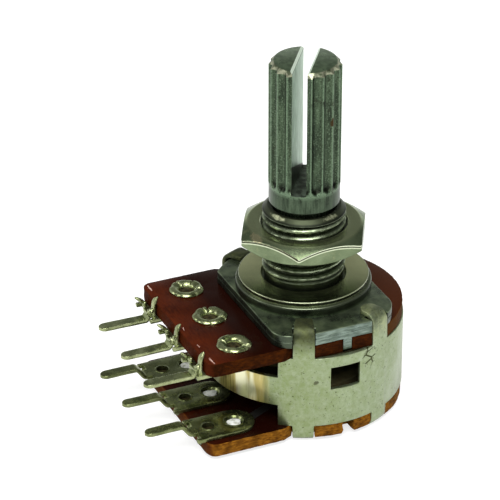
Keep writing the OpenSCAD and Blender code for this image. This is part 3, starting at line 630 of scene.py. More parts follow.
# Shaft
# Turned zinc alloy. The knob end has eighteen rolled splines and is sawn through, so that its halves can
# spring; the sawn faces and the tip are brighter than the dull rolled flanks.
def shaft_finish():
    """Rolled and oxidised metal: dark grey-green, streaked along the shaft, stained in spots, pale on the crests.

    The colour follows the distance from the axis, 2.6 mm in the grooves and 3 mm on the crests, and the height.
    """
    made, tree, shader = finish("turned_shaft", (0.12, 0.17, 0.12), 0.4, 0.9)
    x, y, z, radius = place_in(tree)
    streak = grain(tree, 0.3, stretch=(1, 1, 6), detail=5)
    stain = grain(tree, 0.6, stretch=(1, 1, 1.6), detail=5, place=(3, 1, 2))
    speck = grain(tree, 0.13, detail=2, place=(1, 7, 2))
    pits = grain(tree, 0.22, stretch=(1, 1, 2), detail=5, place=(7, 1, 2))
    shade = grain(tree, 1.3, stretch=(1, 1, 4), detail=5, place=(8, 3, 1))
    light = blend(tree, ramp(tree, streak, 0.3, 0.7), (0.027, 0.043, 0.024), (0.09, 0.132, 0.077))
    body = blend(tree, ramp(tree, shade, 0.45, 0.62, 0, 0.8), light, (0.016, 0.024, 0.015))
    crest = blend(tree, ramp(tree, radius, 0.00288, 0.00298), body, (0.13, 0.19, 0.12))
    stained = blend(tree, ramp(tree, stain, 0.6, 0.72, 0, 0.8), crest, (0.03, 0.035, 0.02))
    dotted = blend(tree, ramp(tree, speck, 0.56, 0.66, 0, 0.7), stained, (0.02, 0.024, 0.014))
    specked = blend(tree, ramp(tree, speck, 0.44, 0.34, 0, 0.5), dotted, (0.17, 0.24, 0.15))
    band = times(tree, ramp(tree, z, 0.0089, 0.0086), ramp(tree, z, 0.0071, 0.0073))
    upright = blend(tree, ramp(tree, streak, 0.35, 0.65), (0.012, 0.017, 0.01), (0.065, 0.092, 0.057))
    dulled = blend(tree, times(tree, band, 0.85), specked, upright)
    # Darker in the grooves just above the band.
    dark_groove_run_out = times(tree, times(tree, ramp(tree, z, 0.0098, 0.0093), ramp(tree, z, 0.0086, 0.0088)), ramp(tree, radius, 0.0029, 0.0028))
    banded = blend(tree, dark_groove_run_out, dulled, (0.008, 0.01, 0.006))
    edge = blend(tree, ramp(tree, stain, 0.42, 0.52), (0.1, 0.12, 0.07), (0.28, 0.29, 0.2))
    ends = blend(tree, ramp(tree, stain, 0.35, 0.65), (0.1, 0.14, 0.085), (0.18, 0.25, 0.15))
    chamfer = blend(tree, times(tree, ramp(tree, z, 0.01957, 0.01961), ramp(tree, radius, 0.0025, 0.0026)), banded, edge)
    tip = blend(tree, ramp(tree, z, 0.01996, 0.01998), chamfer, ends)
    rust = blend(tree, spot(tree, (2.67, 1.26, 15.32), (0.22, 0.22, 0.4)), tip, (0.04, 0.024, 0.008))
    pit = blend(tree, spot(tree, (2.92, 0.39, 17.22), (0.2, 0.2, 0.45)), rust, (0.012, 0.012, 0.008))
    tree.links.new(pit, shader.inputs["Base Color"])
    tree.links.new(ramp(tree, streak, 0.3, 0.7, 0.26, 0.42), shader.inputs["Roughness"])
    relief(tree, shader, pits, 0.02, 0.6)
    return made


def sawn_finish():
    """Sawn faces of the slot: pale and streaked along the shaft, black with painted shadow towards the foot."""
    made, tree, shader = finish("sawn_slot", (0.5, 0.62, 0.5), 0.42, 0.85)
    x, y, z, radius = place_in(tree)
    streak = grain(tree, 0.16, stretch=(1, 1, 9), detail=4)
    blot = grain(tree, 0.7, detail=4, place=(2, 2, 5))
    colour = blend(tree, ramp(tree, streak, 0.3, 0.7), (0.22, 0.33, 0.22), (0.6, 0.74, 0.62))
    along = add(tree, "Math", {0: times(tree, x, 0.34), 1: times(tree, y, 0.24)}, operation="SUBTRACT").outputs[0]
    over = add(tree, "Math", {0: z, 1: along}, operation="SUBTRACT").outputs[0]
    # Painted highlight on the bevel at the slot's upper edges, with a painted dark line of shade just below it.
    bevelled = blend(tree, ramp(tree, z, 0.0198, 0.01982), colour, (0.8, 0.9, 0.78))
    lined = blend(tree, times(tree, ramp(tree, z, 0.01968, 0.01971), ramp(tree, z, 0.01981, 0.01979)), bevelled,
                  (0.05, 0.07, 0.05))
    # Painted shadow: the sawn faces are near-black below a slanting line towards the slot's foot.
    foot = blend(tree, ramp(tree, over, 0.0104, 0.0103), lined, (0.04, 0.05, 0.035))
    floor_dirt = blend(tree, times(tree, ramp(tree, z, 0.0097, 0.009), ramp(tree, blot, 0.4, 0.6)), foot,
                       (0.16, 0.2, 0.15))
    tree.links.new(floor_dirt, shader.inputs["Base Color"])
    relief(tree, shader, streak, 0.01, 0.5)
    return made


shaft_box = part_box("shaft")
shaft_top_mm, shaft_low_mm = shaft_box[1].z / MM, shaft_box[0].z / MM
shaft_r_mm, tip_chamfer_mm = 3.0, 0.42
band_low_mm, band_top_mm = 7.3, 8.9
spline_count, groove_r_mm, groove_depth_mm = 18, 0.5, 0.34
slot_w_mm, slot_floor_mm, slot_turn_deg = 1.25, 8.95, -35.0


def shaft_shell():
    """Turned profile, cut by eighteen round grooves above the band and two flats below the bushing.

    A groove is a circle of radius g whose middle is c from the axis: along a ray at the angle a from it the
    shaft ends at c cos(a) - sqrt(g^2 - (c sin(a))^2). Near the band c grows, so the groove runs out.
    """
    columns = spline_count * 24
    turn = np.linspace(0, 2 * math.pi, columns, endpoint=False)
    pitch = 2 * math.pi / spline_count
    profile = np.array([(0.9, shaft_low_mm), (1.2, shaft_low_mm + 0.15), (1.2, -9.32), (1.95, -9.3), (2.0, -9.2),
                        (2.0, -3.86), (2.45, -3.84), (2.45, -3.36), (2.05, -3.34), (2.05, -2.9), (2.45, -2.88),
                        (2.45, band_low_mm - 0.02), (2.9, band_low_mm), (2.97, band_low_mm + 0.08),
                        (2.97, band_top_mm - 0.02)])
    knob_z = np.concatenate([np.linspace(band_top_mm, band_top_mm + 0.5, 12),
                             np.linspace(9.8, shaft_top_mm - tip_chamfer_mm - 0.05, 6),
                             np.linspace(shaft_top_mm - tip_chamfer_mm, shaft_top_mm - 0.03, 14)])
    heights = np.concatenate([profile[:, 1], knob_z, [shaft_top_mm, shaft_top_mm]])
    radius = np.interp(heights, profile[:, 1], profile[:, 0])[:, None] * np.ones(columns)
    knob = heights[:, None] > band_top_mm - 0.01
    run_out = np.sqrt(np.clip(1 - ((heights - band_top_mm) / 0.45), 0, 1))[:, None] ** 2
    middle = shaft_r_mm + groove_r_mm - groove_depth_mm * (1 - run_out)
    from_groove = (turn - math.radians(slot_turn_deg)) % pitch - pitch / 2
    within = np.maximum(groove_r_mm ** 2 - (middle * np.sin(from_groove)) ** 2, 0)
    groove = np.where(within > 0, middle * np.cos(from_groove) - np.sqrt(within), 9.0)
    crest = shaft_r_mm - 0.02 * np.clip(np.abs(pitch / 2 - np.abs(from_groove)) / 0.03, 0, 1)
    chamfer = shaft_r_mm - tip_chamfer_mm + (shaft_top_mm - heights)[:, None]
    knob_r = np.minimum(np.minimum(groove, crest), chamfer)
    radius = np.where(knob, knob_r, radius)
    radius[-1] = shaft_r_mm - tip_chamfer_mm - 0.06
    radius[-2] = np.minimum(radius[-2], shaft_r_mm - tip_chamfer_mm - 0.03)
    heights[-2] -= 0.012
    flats = (heights > -9.35) & (heights < -3.85)
    flat_r = 1.5 / np.maximum(np.abs(np.sin(turn)), 1e-3)
    radius = np.where(flats[:, None], np.minimum(radius, flat_r), radius)
    return sheet_of(round_trip(radius, heights, columns), 0, ring=False)


def slot_cutter():
    """Bar across the shaft with a small flare at the tip, which leaves a bevel on the slot's upper edges."""
    half, flare, reach = slot_w_mm / 2, 0.19, 4.0
    section = np.array([(-half, slot_floor_mm), (half, slot_floor_mm), (half, shaft_top_mm - flare),
                        (half + 2 * flare, shaft_top_mm + flare), (-half - 2 * flare, shaft_top_mm + flare),
                        (-half, shaft_top_mm - flare)])
    turn = math.radians(slot_turn_deg)
    ends = []
    for s in (-reach, reach):
        along = np.array((math.cos(turn), math.sin(turn))) * s
        ends.append(np.c_[along[0] - section[:, 0] * math.sin(turn), along[1] + section[:, 0] * math.cos(turn),
                          section[:, 1]])
    return sheet_of(np.array(ends), 0, ring=False)


def carve(piece, cutter):
    """Takes the cutter's shape out of a piece and removes the cutter."""
    cut = piece.modifiers.new("cut", "BOOLEAN")
    cut.operation, cut.solver, cut.object = "DIFFERENCE", "EXACT", cutter
    cut.material_mode = "TRANSFER"
    bpy.context.view_layer.update()
    carved = bpy.data.meshes.new_from_object(piece.evaluated_get(bpy.context.evaluated_depsgraph_get()))
    piece.modifiers.clear()
    piece.data = carved
    bpy.data.objects.remove(cutter)
    carved.set_sharp_from_angle(angle=math.radians(24))


shaft_metal, sawn = shaft_finish(), sawn_finish()
shaft = show("splined_shaft", [shaft_shell()], [shaft_metal], 24)
cutter = show("slot_cutter", [slot_cutter()], [sawn])
carve(shaft, cutter)
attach(shaft, "rotor")
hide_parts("shaft")


# Boards
# Punched from paper laminate: the faces keep a thin gloss, and the punched edges are rough, fibrous and paler.
def board_finish():
    """Face of the phenolic board: deep red-brown under a thin gloss."""
    made, tree, shader = finish("phenolic_face", (0.06, 0.012, 0.005), 0.25, 0.0, 0.0, 0.07)
    cloud = grain(tree, 2.5, detail=5)
    fibre = grain(tree, 0.18, stretch=(4, 1, 1), detail=4)
    colour = blend(tree, ramp(tree, cloud, 0.3, 0.7), (0.028, 0.004, 0.001), (0.075, 0.011, 0.002))
    x, y, z, radius = place_in(tree)
    pale = blend(tree, ramp(tree, fibre, 0.4, 0.75, 0, 0.3), colour, (0.12, 0.024, 0.004))
    deep = blend(tree, ramp(tree, z, -0.004, -0.006, 0, 0.65), pale, (0.012, 0.0015, 0.001))
    near_case = blend(tree, ramp(tree, y, -0.0118, -0.0075, 0, 0.95), deep, (0.007, 0.0012, 0.0006))
    tree.links.new(blend(tree, ramp(tree, y, 0.0025, 0.006, 0, 0.8), near_case, (0.05, 0.012, 0.003)),
                   shader.inputs["Base Color"])
    relief(tree, shader, fibre, 0.01, 0.3)
    return made


def board_edge_finish(name, dark, pale, shade, bare):
    """Punched edge of a board: fibrous layers between a dark and a pale brown, with dark burnt places.

    shade is how much painted shadow darkens the stretch between the tabs, and bare how much the round end is paler.
    """
    made, tree, shader = finish(name, dark, 0.6, 0.0, 0.0, 0.02)
    layer = grain(tree, 0.14, stretch=(3, 3, 1), detail=4)
    cloud = grain(tree, 0.9, detail=5, place=(1, 2, 3))
    colour = blend(tree, ramp(tree, layer, 0.3, 0.7), dark, pale)
    burnt = blend(tree, ramp(tree, cloud, 0.45, 0.65, 0, 0.6), colour, tuple(c * 0.5 for c in dark))
    x, y, z, radius = place_in(tree)
    # Painted shadow on the edge along the stretch between the tabs.
    between = times(tree, ramp(tree, y, -0.0045, -0.004), ramp(tree, y, 0.0034, 0.003))
    nose = blend(tree, ramp(tree, y, 0.0034, 0.0045, 0, bare), burnt, (0.085, 0.033, 0.006))
    end = blend(tree, ramp(tree, y, -0.0113, -0.0117, 0, 0.75), nose, (0.05, 0.008, 0.002))
    tree.links.new(blend(tree, times(tree, between, shade), end, (0.02, 0.006, 0.003)),
                   shader.inputs["Base Color"])
    relief(tree, shader, layer, 0.03, 0.7)
    return made


board_face = board_finish()
board_edges = {"front_board": board_edge_finish("front_phenolic_edge", (0.014, 0.003, 0.0005), (0.055, 0.013, 0.001), 0.2, 0.7),
               "rear_board": board_edge_finish("rear_phenolic_edge", (0.07, 0.022, 0.002), (0.28, 0.115, 0.011), 0.0, 0.0)}


def board_shell(name):
    """Board whose punched edge is ragged by up to a few hundredths of a millimetre.

    The rear board's nose, beyond 6.2 mm, is torn deeper, and its rim is worn round towards its lower face by
    0.08 w^2, where w falls from 1 on that face to 0 at 0.4 mm above it.
    """
    low, high = (corner.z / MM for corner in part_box(name))
    third = (high - low) / 3
    worn_h = 0.4
    loops = rims(name, high)

    def ragged(spot):
        fine = 0.022 * ripple(spot, 0.5, 8) + 0.014 * ripple(spot, 0.24, 9)
        if name == "front_board":
            return fine
        nose = np.clip((spot[:, 0] - 6.2) / 0.6, 0, 1)
        worn = np.clip((low + worn_h - spot[:, 2]) / worn_h, 0, 1) ** 2
        rim = np.clip((np.hypot(spot[:, 0], spot[:, 1]) - 7.8) / 0.5, 0, 1)
        return fine + nose * rim * (0.03 * ripple(spot, 0.9, 3) - 0.08 * worn)

    if name == "front_board":
        edge = loops[0]
        near = (np.abs(edge[:, 1]) < 2.7) & (edge[:, 0] > 7)
        edge[near, 0] = np.minimum(edge[near, 0], plate_x_mm - 0.02)
        slot = near & (np.abs(edge[:, 1] - tongue_y_mm) < 0.6)
        edge[slot, 1] = tongue_y_mm + np.sign(edge[slot, 1] - tongue_y_mm) * (tongue_half_mm + 0.08)
    levels = [(low + third, 0.02), (low + 2 * third, -0.015)]
    if name == "rear_board":
        levels = [(low + 0.14, 0.0), (low + 0.26, 0.0)] + levels
    return slab(loops, low, high, 0.04, gap_mm=0.14, levels=levels, push=ragged, wall=1)


for name in ("front_board", "rear_board"):
    board = show(name.replace("board", "laminate"), [board_shell(name)], [board_face, board_edges[name]], 50)
    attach(board, "housing")
    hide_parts(name)


# Splinters of the front board
# Pale chips of paper that the claws have lifted from the punched end of the board. They lie on its face.
def splinter_shell(x_mm, y_mm, turn_deg, length_mm, width_mm):
    """Flat chip: an ellipse squared off at its ends and thinned towards its rim."""
    t = np.linspace(0, 2 * math.pi, 20, endpoint=False)
    u = np.sign(np.cos(t)) * np.abs(np.cos(t)) ** 0.5 * length_mm / 2
    v = np.sin(t) * width_mm / 2 * (1 + 0.3 * np.sin(3 * t + x_mm))
    turn = math.radians(turn_deg)
    layers = [(0.4, -0.05), (1.0, 0.0), (0.9, 0.04), (0.35, 0.07)]
    plan = np.stack([u * math.cos(turn) - v * math.sin(turn), u * math.sin(turn) + v * math.cos(turn)], -1)
    grid = [np.c_[plan * share + (x_mm, y_mm), np.full(20, plate_bottom_mm + rise)] for share, rise in layers]
    return sheet_of(np.array(grid), 0, ring=False)


def splinter_finish():
    """Torn paper: pinkish white."""
    made, tree, shader = finish("torn_paper", (0.6, 0.42, 0.36), 0.8)
    fibre = grain(tree, 0.1, stretch=(5, 1, 1))
    tree.links.new(blend(tree, ramp(tree, fibre, 0.35, 0.65), (0.22, 0.08, 0.05), (0.6, 0.44, 0.38)),
                   shader.inputs["Base Color"])
    return made


splinters = show("splinters", [splinter_shell(-6.5, -11.36, 2, 1.0, 0.12), splinter_shell(1.0, -11.4, -12, 0.5, 0.1),
                               splinter_shell(4.05, -11.36, 4, 0.45, 0.1), splinter_shell(6.66, -11.3, 3, 1.1, 0.14)],
                 [splinter_finish()])
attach(splinters, "housing")


# Case
# Folded from one tinned sheet: wall, tabs over both boards, the cross band and the window over the stop.
def tin_finish():
    """Tinned sheet of the case: pale green-white, with pits, specks and fine scratches, painted shading across it,
    painted light and shade on the tab folds, and painted reflections on the band.
    """
    made, tree, shader = finish("tinned_sheet", (0.45, 0.54, 0.34), 0.34, 0.9)
    x, y, z, radius = place_in(tree)
    cloud = grain(tree, 1.8, detail=6)
    pit = grain(tree, 0.2, detail=2, rough=0.7)
    dent = grain(tree, 0.5, detail=6, rough=0.75, place=(4, 4, 1))
    drawn = grain(tree, 0.22, stretch=(1, 1, 7), detail=4)
    # Painted shading: the sheet is darker towards -Y and paler towards +Y.
    side = blend(tree, ramp(tree, y, -0.005, 0.003), (0.22, 0.275, 0.12), (0.29, 0.35, 0.205))
    clouded = blend(tree, ramp(tree, cloud, 0.35, 0.65, 0, 0.35), side, (0.2, 0.25, 0.1))
    colour = blend(tree, ramp(tree, dent, 0.4, 0.65, 0, 0.3), clouded, (0.5, 0.54, 0.46))
    crumb = grain(tree, 0.12, detail=1, place=(2, 2, 2))
    dusted = blend(tree, ramp(tree, crumb, 0.71, 0.77, 0, 0.6), colour, (0.1, 0.11, 0.05))
    specked = blend(tree, ramp(tree, pit, 0.65, 0.69, 0, 0.9), dusted, (0.06, 0.065, 0.025))
    # Painted light and shade on the tabs' folds: the left tab's fold is dark and the right one's olive, both broken by
    # near-black painted patches.
    folded = times(tree, ramp(tree, z, -0.0028, -0.0012), ramp(tree, y, -0.002, 0.002, 0.85, 0.5))
    stain = grain(tree, 0.9, detail=5, rough=0.65, place=(9, 2, 2))
    olive = blend(tree, ramp(tree, y, -0.001, 0.001), (0.065, 0.07, 0.025), (0.36, 0.38, 0.18))
    stained = blend(tree, ramp(tree, stain, 0.4, 0.6), (0.014, 0.015, 0.005), olive)
    fold = blend(tree, folded, specked, stained)
    reflected = grain(tree, 1.5, stretch=(1, 1, 8), detail=3, place=(1.7, 0, 0))
    gold = blend(tree, ramp(tree, reflected, 0.42, 0.5), (0.1, 0.075, 0.02), (0.5, 0.42, 0.16))
    cream = blend(tree, ramp(tree, reflected, 0.52, 0.58), gold, (0.85, 0.83, 0.58))
    banded = blend(tree, times(tree, ramp(tree, y, -0.0052, -0.0058), ramp(tree, x, 0.0062, 0.0056)), fold, cream)
    dot = blend(tree, spot(tree, (8.1, -2.57, -5.47), (0.22, 0.22, 0.2)), banded, (0.1, 0.11, 0.06))
    where = add(tree, "TexCoord")
    torn = add(tree, "TexVoronoi", {"Vector": where.outputs["Object"], "Scale": 1100.0}, feature="DISTANCE_TO_EDGE")
    line = times(tree, ramp(tree, torn.outputs["Distance"], 0.09, 0.04), spot(tree, (8.2, 2.3, -4.0), (0.5, 0.75, 1.0)))
    crack = blend(tree, line, dot, (0.045, 0.05, 0.018))
    tree.links.new(crack, shader.inputs["Base Color"])
    tree.links.new(add(tree, "Math", {0: ramp(tree, cloud, 0.3, 0.7, 0.28, 0.4), 1: times(tree, folded, 0.25)},
                       operation="ADD").outputs[0], shader.inputs["Roughness"])
    relief(tree, shader, drawn, 0.006, 0.35)
    return made


tin = tin_finish()
case_bevel_mm = 0.05
window_top_mm, window_low_mm = -4.35, -6.2
tab_tip_mm = 6.6
joined = bmesh.new()
joined.from_mesh(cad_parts["case_shell"].data)
bmesh.ops.remove_doubles(joined, verts=joined.verts, dist=1e-7)
bmesh.ops.dissolve_limit(joined, angle_limit=math.radians(1), verts=joined.verts, edges=joined.edges)
for corner in joined.verts:
    in_window = corner.co.x > 0.008 and abs(corner.co.y) < 0.0015
    for edge_z, moved_z in ((window_top_mm, 0.14), (window_low_mm, -0.07)):
        if in_window and abs(corner.co.z / MM - edge_z) < 0.01:
            corner.co.z += moved_z * MM
upright_edges = [edge for edge in joined.edges
                 if all(math.hypot(end.co.x, end.co.y) < tab_tip_mm * MM and end.co.z > -0.002 for end in edge.verts)
                 and abs(edge.verts[0].co.z - edge.verts[1].co.z) > 0.0003]
bmesh.ops.dissolve_edges(joined, edges=[edge for edge in upright_edges if edge.calc_face_angle() < 0.2], use_verts=True)
for side, tip_round_mm in ((-1, 0.2), (1, 0.65)):
    tips = [edge for edge in upright_edges if edge.is_valid and edge.verts[0].co.y * side > 0]
    bmesh.ops.bevel(joined, geom=tips, offset=tip_round_mm * MM, segments=6, profile=0.5, affect="EDGES")
edges = [edge for edge in joined.edges if edge.is_manifold and edge.calc_face_angle() > math.radians(50)]
bmesh.ops.bevel(joined, geom=edges, offset=case_bevel_mm * MM, segments=2, profile=0.5, affect="EDGES")
case_mesh = bpy.data.meshes.new("folded_case")
joined.to_mesh(case_mesh)
joined.free()
case_mesh.materials.clear()
case_mesh.materials.append(tin)
case_mesh.polygons.foreach_set("use_smooth", np.full(len(case_mesh.polygons), True))
case_mesh.set_sharp_from_angle(angle=math.radians(50))
case = bpy.data.objects.new("folded_case", case_mesh)
scene.collection.objects.link(case)
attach(case, "housing")
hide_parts("case_shell")


# Pieces inside the case
# Moulded rotors, spring wipers, printed tracks and the retaining ring keep the frame's own shapes.
def inner_finish(name, colour, rough, metal, size_mm):
    """Finish of a piece inside the case, with a light mottle."""
    made, tree, shader = finish(name, colour, rough, metal, 0.0, 0.1)
    darker = tuple(c * 0.6 for c in colour)
    tree.links.new(blend(tree, ramp(tree, grain(tree, size_mm), 0.3, 0.7), darker, colour),
                   shader.inputs["Base Color"])
    return made


def dress(name, made):
    """Gives a CAD node its material."""
    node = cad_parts[name]
    if not node.material_slots:
        node.data.materials.append(made)
    for place in node.material_slots:
        place.material = made


inner = {"carbon_track": inner_finish("carbon_ink", (0.012, 0.011, 0.01), 0.7, 0.0, 0.3),
         # The collector ring's silver ink is painted near-black as shade.
         "collector_ring": inner_finish("silver_ink", (0.005, 0.0015, 0.001), 0.9, 0.0, 0.3),
         "rotor": inner_finish("rotor_plastic", (0.13, 0.115, 0.055), 0.6, 0.0, 1.0),
         "wiper": inner_finish("spring_bronze", (0.6, 0.48, 0.28), 0.3, 0.95, 0.5)}
for gang in ("front", "rear"):
    for piece, made in inner.items():
        dress(f"{gang}_{piece}", made)
dress("retaining_ring", inner_finish("spring_steel", (0.3, 0.31, 0.3), 0.35, 0.95, 0.4))


# Terminals
# Stamped and tinned brass: strip, drawn eyelet, claws and pin in one piece.
def terminal_finish(name, dark, pale):
    """Tinned brass of the terminals: olive silver with soft dents and bright burnish."""
    made, tree, shader = finish(name, dark, 0.28, 0.95)
    cloud = grain(tree, 0.9, detail=5)
    dent = grain(tree, 0.7, detail=1, place=(2, 5, 1))
    tree.links.new(blend(tree, ramp(tree, cloud, 0.3, 0.7), dark, pale), shader.inputs["Base Color"])
    tree.links.new(ramp(tree, cloud, 0.3, 0.7, 0.2, 0.34), shader.inputs["Roughness"])
    relief(tree, shader, dent, 0.04, 0.35)
    return made


brass = {"front": terminal_finish("front_tinned_brass", (0.15, 0.175, 0.075), (0.42, 0.455, 0.25)),
         "rear": terminal_finish("rear_tinned_brass", (0.12, 0.14, 0.055), (0.25, 0.275, 0.13))}
# Dark fill: painted shade in the rear strips' second holes, and a dark drop in the front eyelets.
dark_fill, dark_fill_tree, dark_fill_shader = finish("dark_hole_fill", (0.02, 0.01, 0.004), 0.5, 0.0, 0.0, 0.1)
dark_fill_tree.links.new(blend(dark_fill_tree, ramp(dark_fill_tree, grain(dark_fill_tree, 0.3), 0.4, 0.6), (0.006, 0.004, 0.002),
                          (0.04, 0.032, 0.012)), dark_fill_shader.inputs["Base Color"])
bright, bright_tree, bright_shader = finish("bright_solder", (0.9, 0.92, 0.88), 0.35)
bright_tree.links.new(blend(bright_tree, ramp(bright_tree, grain(bright_tree, 0.4), 0.3, 0.5), (0.45, 0.46, 0.38),
                            (0.95, 0.96, 0.94)), bright_shader.inputs["Base Color"])


def swept(path, width, thick, power=5.0, number=0, around=28):
    """Bar along a path of (x, y, z) that runs in planes of constant x.

    Its section is a superellipse |u / width|^p + |v / thick|^p = 1 with u along X and v square to the path.
    """
    path = np.asarray(path, float)
    ahead = np.gradient(path, axis=0)
    ahead[:, 0] = 0
    ahead /= np.linalg.norm(ahead, axis=1, keepdims=True)
    normal = np.stack([0 * ahead[:, 0], ahead[:, 2], -ahead[:, 1]], 1)
    t = np.linspace(0, 2 * math.pi, around, endpoint=False)
    u, v = (np.sign(f) * np.abs(f) ** (2 / power) / 2 for f in (np.cos(t), np.sin(t)))
    width, thick = (np.broadcast_to(w, len(path)).reshape(-1, 1, 1) for w in (width, thick))
    grid = path[:, None] + u[:, None] * width * (1, 0, 0) + v[:, None] * thick * normal[:, None]
    return sheet_of(grid, number, ring=False)


def eased(knots, count):
    """Smooth curve through knots: Catmull-Rom cubics, count points in all."""
    knots = np.asarray(knots, float)
    full = np.concatenate([2 * knots[:1] - knots[1:2], knots, 2 * knots[-1:] - knots[-2:-1]])
    at = np.linspace(0, len(knots) - 1 - 1e-9, count)
    i, t = at.astype(int), (at % 1)[:, None]
    p0, p1, p2, p3 = full[i], full[i + 1], full[i + 2], full[i + 3]
    return 0.5 * (2 * p1 + (p2 - p0) * t + (2 * p0 - 5 * p1 + 4 * p2 - p3) * t ** 2
                  + (3 * p1 - p0 - 3 * p2 + p3) * t ** 3)


strip_t_mm, strip_half_mm, strip_end_mm, strip_hole_mm = 0.38, 1.7, -4.0, 0.525
claw_root_mm, claw_x_mm, claw_w_mm = -3.58, 0.98, 0.8
board_t_mm, pitch_mm, eyelet_y_mm = 1.2, 5.0, -8.6
pin_tip_mm = -8.0


def strip_shell(foot_mm):
    """Flat strip: a half circle round the eyelet, straight sides, and slots where the claws were bent out.

    foot_mm is where the middle part between the slots ends and the pin goes on.
    """
    t = np.linspace(0, math.pi, 28)
    head = np.stack([np.cos(t), np.sin(t)], 1) * strip_half_mm
    inner, outer = claw_x_mm - claw_w_mm / 2, claw_x_mm + claw_w_mm / 2
    foot = [(-strip_half_mm, strip_end_mm), (-outer, strip_end_mm), (-outer, claw_root_mm), (-inner, claw_root_mm),
            (-inner, foot_mm)]
    outline = np.concatenate([head, foot, np.array(foot)[::-1] * (-1, 1)])
    turn = np.linspace(0, 2 * math.pi, 30, endpoint=False)
    circle = np.stack([np.cos(turn), -np.sin(turn)], 1)
    holes = [circle * 0.9, circle * strip_hole_mm + (0, -2.35)]
    return slab([outline, *holes], 0, strip_t_mm, 0.07, gap_mm=0.16, push=lambda spot: 0.02 * ripple(spot, 0.9, 5))


def eyelet_shell(seed, lobes):
    """Drawn eyelet whose flared rim beyond the board is lobed and split.

    Beyond 0.8 mm the radius is stretched by 0.88 + 0.2 |sin(lobes a / 2)|^0.7 at the angle a, and three narrow
    splits, exp(-((a - split) / 0.06)^2), draw it in and down.
    """
    chance = np.random.default_rng(seed)
    columns = 144
    turn = np.linspace(0, 2 * math.pi, columns, endpoint=False)
    far = -board_t_mm
    corners = np.array([(0.95, 0.36), (0.8, strip_t_mm + 0.03), (0.58, 0.12), (0.55, far + 0.25), (0.66, far - 0.06),
                        (0.86, far - 0.22), (1.1, far - 0.3), (1.32, far - 0.22), (1.45, far - 0.08),
                        (1.43, far + 0.02), (0.95, far + 0.02)])[:, None]
    profile = softened(corners, 0.1, 4)
    radius, height = (np.repeat(profile[..., k], columns, 1) for k in (0, 1))
    lobe = 0.88 + 0.2 * np.abs(np.sin(lobes * turn / 2 + chance.uniform(0, 3))) ** 0.7
    split = sum(np.exp(-((turn - a + math.pi) % (2 * math.pi) - math.pi) ** 2 / 0.06 ** 2)
                for a in chance.uniform(0, 2 * math.pi, 3))
    beyond = np.clip((far - height + 0.02) / 0.1, 0, 1)
    reach = np.clip(radius - 0.8, 0, None)
    radius = radius + beyond * reach * (lobe - 1 - 0.35 * split)
    height = height + beyond * np.clip(radius - 0.55, 0, 0.3) * (0.5 * split + 0.5 * (1.05 - lobe))
    grid = round_trip(radius, height, columns)
    grid = grid + 0.03 * ripple(grid, 0.9, seed)[..., None] * np.clip((far - height)[..., None] * 5, 0, 1)
    return sheet_of(grid)


def plug_shell(seed):
    """A flat dented dark drop in a front eyelet."""
    points, faces, number = lump_shell((0, 0, -board_t_mm + 0.14), (1.25, 1.25, 0.22), seed + 11)
    return points, faces, 1


def hole_shells():
    """Rear strip: the burr of its second hole with a dark drop in it as painted shade, and the solder that fills its
    eyelet.
    """
    burr = turned([(strip_hole_mm - 0.01, strip_t_mm - 0.1), (strip_hole_mm + 0.13, strip_t_mm - 0.1),
                   (strip_hole_mm + 0.13, strip_t_mm + 0.02), (strip_hole_mm - 0.01, strip_t_mm + 0.07)], 0.04, 48)
    drop = lump_shell((0, 0, 0.03), (1.15, 1.15, 0.12), 3)
    fill = lump_shell((0, 2.35, 0.17), (1.1, 1.1, 0.14), 6)
    return [(shell[0] + (0, -2.35, 0), shell[1], number) for shell, number in ((burr, 0), (drop, 1), (fill, 2))]


def pin_shell(drop, bend_mm, length_mm, seed):
    """Pin: from inside the strip through a soft double bend to a rounded tip.

    Its middle rises by drop s(t), with s(t) = 3 t^2 - 2 t^3 over the bend's length.
    """
    y = np.concatenate([np.linspace(-3.2, pin_tip_mm + 0.5, 64),
                        pin_tip_mm + 0.5 - 0.5 * np.sin(np.linspace(0.08, 1, 10) * math.pi / 2)])
    t = np.clip((bend_mm - y) / length_mm, 0, 1)
    z = strip_t_mm / 2 + drop * (3 * t ** 2 - 2 * t ** 3)
    rest = np.clip((y - pin_tip_mm) / 0.5, 0, 1)
    width = (1.0 - 0.03 * ripple(np.c_[y, y * 0, y * 0], 1.5, seed)) * np.sqrt(np.clip(1 - (1 - rest) ** 2, 0.03, 1))
    thick = strip_t_mm * (0.72 + 0.28 * rest)
    sway = 0.03 * np.sin(y * 0.8 + seed)
    return swept(np.stack([sway, y, z], 1), width, thick, 6.0)


def claw_shell(knots, widths, thick=0.34, twist_mm=0.0):
    """Claw: a leaf along a smooth curve through its knots of (x, y, z), pointed at the tip."""
    path = eased(knots, 26)
    s = np.linspace(0, 1, 26)
    width = np.interp(s, np.linspace(0, 1, len(widths)), widths)
    return swept(path, width, thick * (1 - 0.55 * s ** 3), 3.6)


def lump_shell(middle, size, seed):
    """Small burr: a sphere stretched to size and dented by ripple."""
    rise = np.linspace(0.12, math.pi - 0.12, 12)[:, None]
    turn = np.linspace(0, 2 * math.pi, 18, endpoint=False)[None]
    ball = np.stack([np.sin(rise) * np.cos(turn), np.sin(rise) * np.sin(turn), -np.cos(rise) * np.ones_like(turn)], -1)
    ball = ball * (1 + 0.35 * ripple(ball, 1.1, seed)[..., None])
    return sheet_of(ball * np.array(size) / 2 + middle, 0, ring=False)


def placed(shell, x_mm, base_mm, over):
    """Carries a shell to its pin. Over a board the shell is mirrored, and its faces are turned round."""
    points, faces, number = shell
    spot = points * (1, 1, -1 if over else 1) + (x_mm, eyelet_y_mm, base_mm)
    return spot, [face[::-1] for face in faces] if over else faces, number


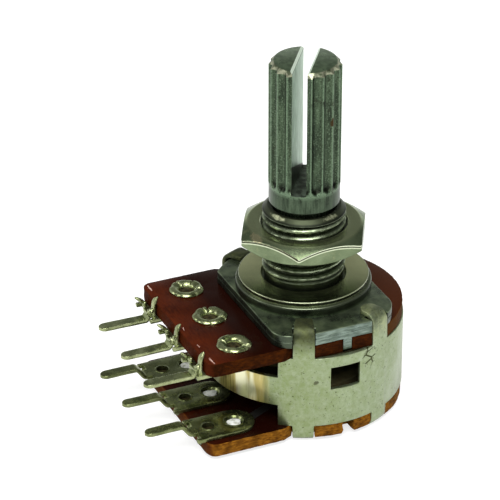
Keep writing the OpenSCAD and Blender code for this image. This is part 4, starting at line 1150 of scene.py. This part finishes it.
front_base_mm, rear_base_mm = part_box("front_board")[0].z / MM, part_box("rear_board")[1].z / MM
claw = claw_x_mm
for side, i in (("left", -1), ("middle", 0), ("right", 1)):
    seed = 20 + 3 * i
    front = [strip_shell(-3.75), eyelet_shell(seed, 5 + (i + 1) % 2), pin_shell(0.55, -3.4, 0.5, seed), plug_shell(seed),
             claw_shell([(claw, -3.4, 0.2), (claw, -3.46, -0.2), (claw, -3.42, -0.75), (claw - 0.03, -3.36, -1.15),
                         (claw - 0.05, -3.24, -1.45), (claw - 0.06 * i, -3.05, -1.72)],
                        (0.8, 0.62, 0.5, 0.62, 0.5, 0.12)),
             claw_shell([(-claw, -3.4, 0.2), (-claw, -3.5, -0.1), (-claw, -3.7, -0.42), (-claw, -4.0, -0.66),
                         (-claw - 0.05, -4.3, -0.86)], (0.8, 0.55, 0.5, 0.62, 0.14)),
             claw_shell([(-claw + 0.1, -3.7, -0.4), (-claw + 0.32, -3.95, -0.72), (-claw + 0.42, -4.12, -0.98)],
                        (0.4, 0.34, 0.08), 0.26),
             lump_shell((claw - 0.45, -3.6, -0.1), (0.6, 0.42, 0.55), seed + 1),
             lump_shell((-claw + 0.4, -3.62, -0.35), (0.5, 0.4, 0.5), seed + 2),
             lump_shell((claw + 0.1, -3.66, -0.55), (0.5, 0.34, 0.45), seed + 4)]
    rear = [strip_shell(-3.9), eyelet_shell(seed + 9, 6), pin_shell(0.9, -3.95, 0.95, seed + 5), *hole_shells(),
            claw_shell([(claw, -3.4, 0.2), (claw, -3.5, 0.0), (claw, -3.46, -0.25), (claw + 0.02, -3.44, -0.5)],
                       (0.8, 0.7, 0.55, 0.2)),
            claw_shell([(-claw, -3.4, 0.2), (-claw, -3.5, 0.0), (-claw, -3.46, -0.25), (-claw, -3.44, -0.5)],
                       (0.8, 0.66, 0.5, 0.25)),
            lump_shell((-claw - 0.2, -3.62, 0.0), (0.4, 0.3, 0.3), seed + 7)]
    for row, shells, base, over in (("front", front, front_base_mm, True), ("rear", rear, rear_base_mm, False)):
        terminal = show(f"{row}_{side}_pin", [placed(shell, i * pitch_mm, base, over) for shell in shells],
                        [brass[row], dark_fill, bright])
        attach(terminal, "housing")
        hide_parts(f"{row}_terminal_{side}")

scene.view_settings.view_transform = "Standard"
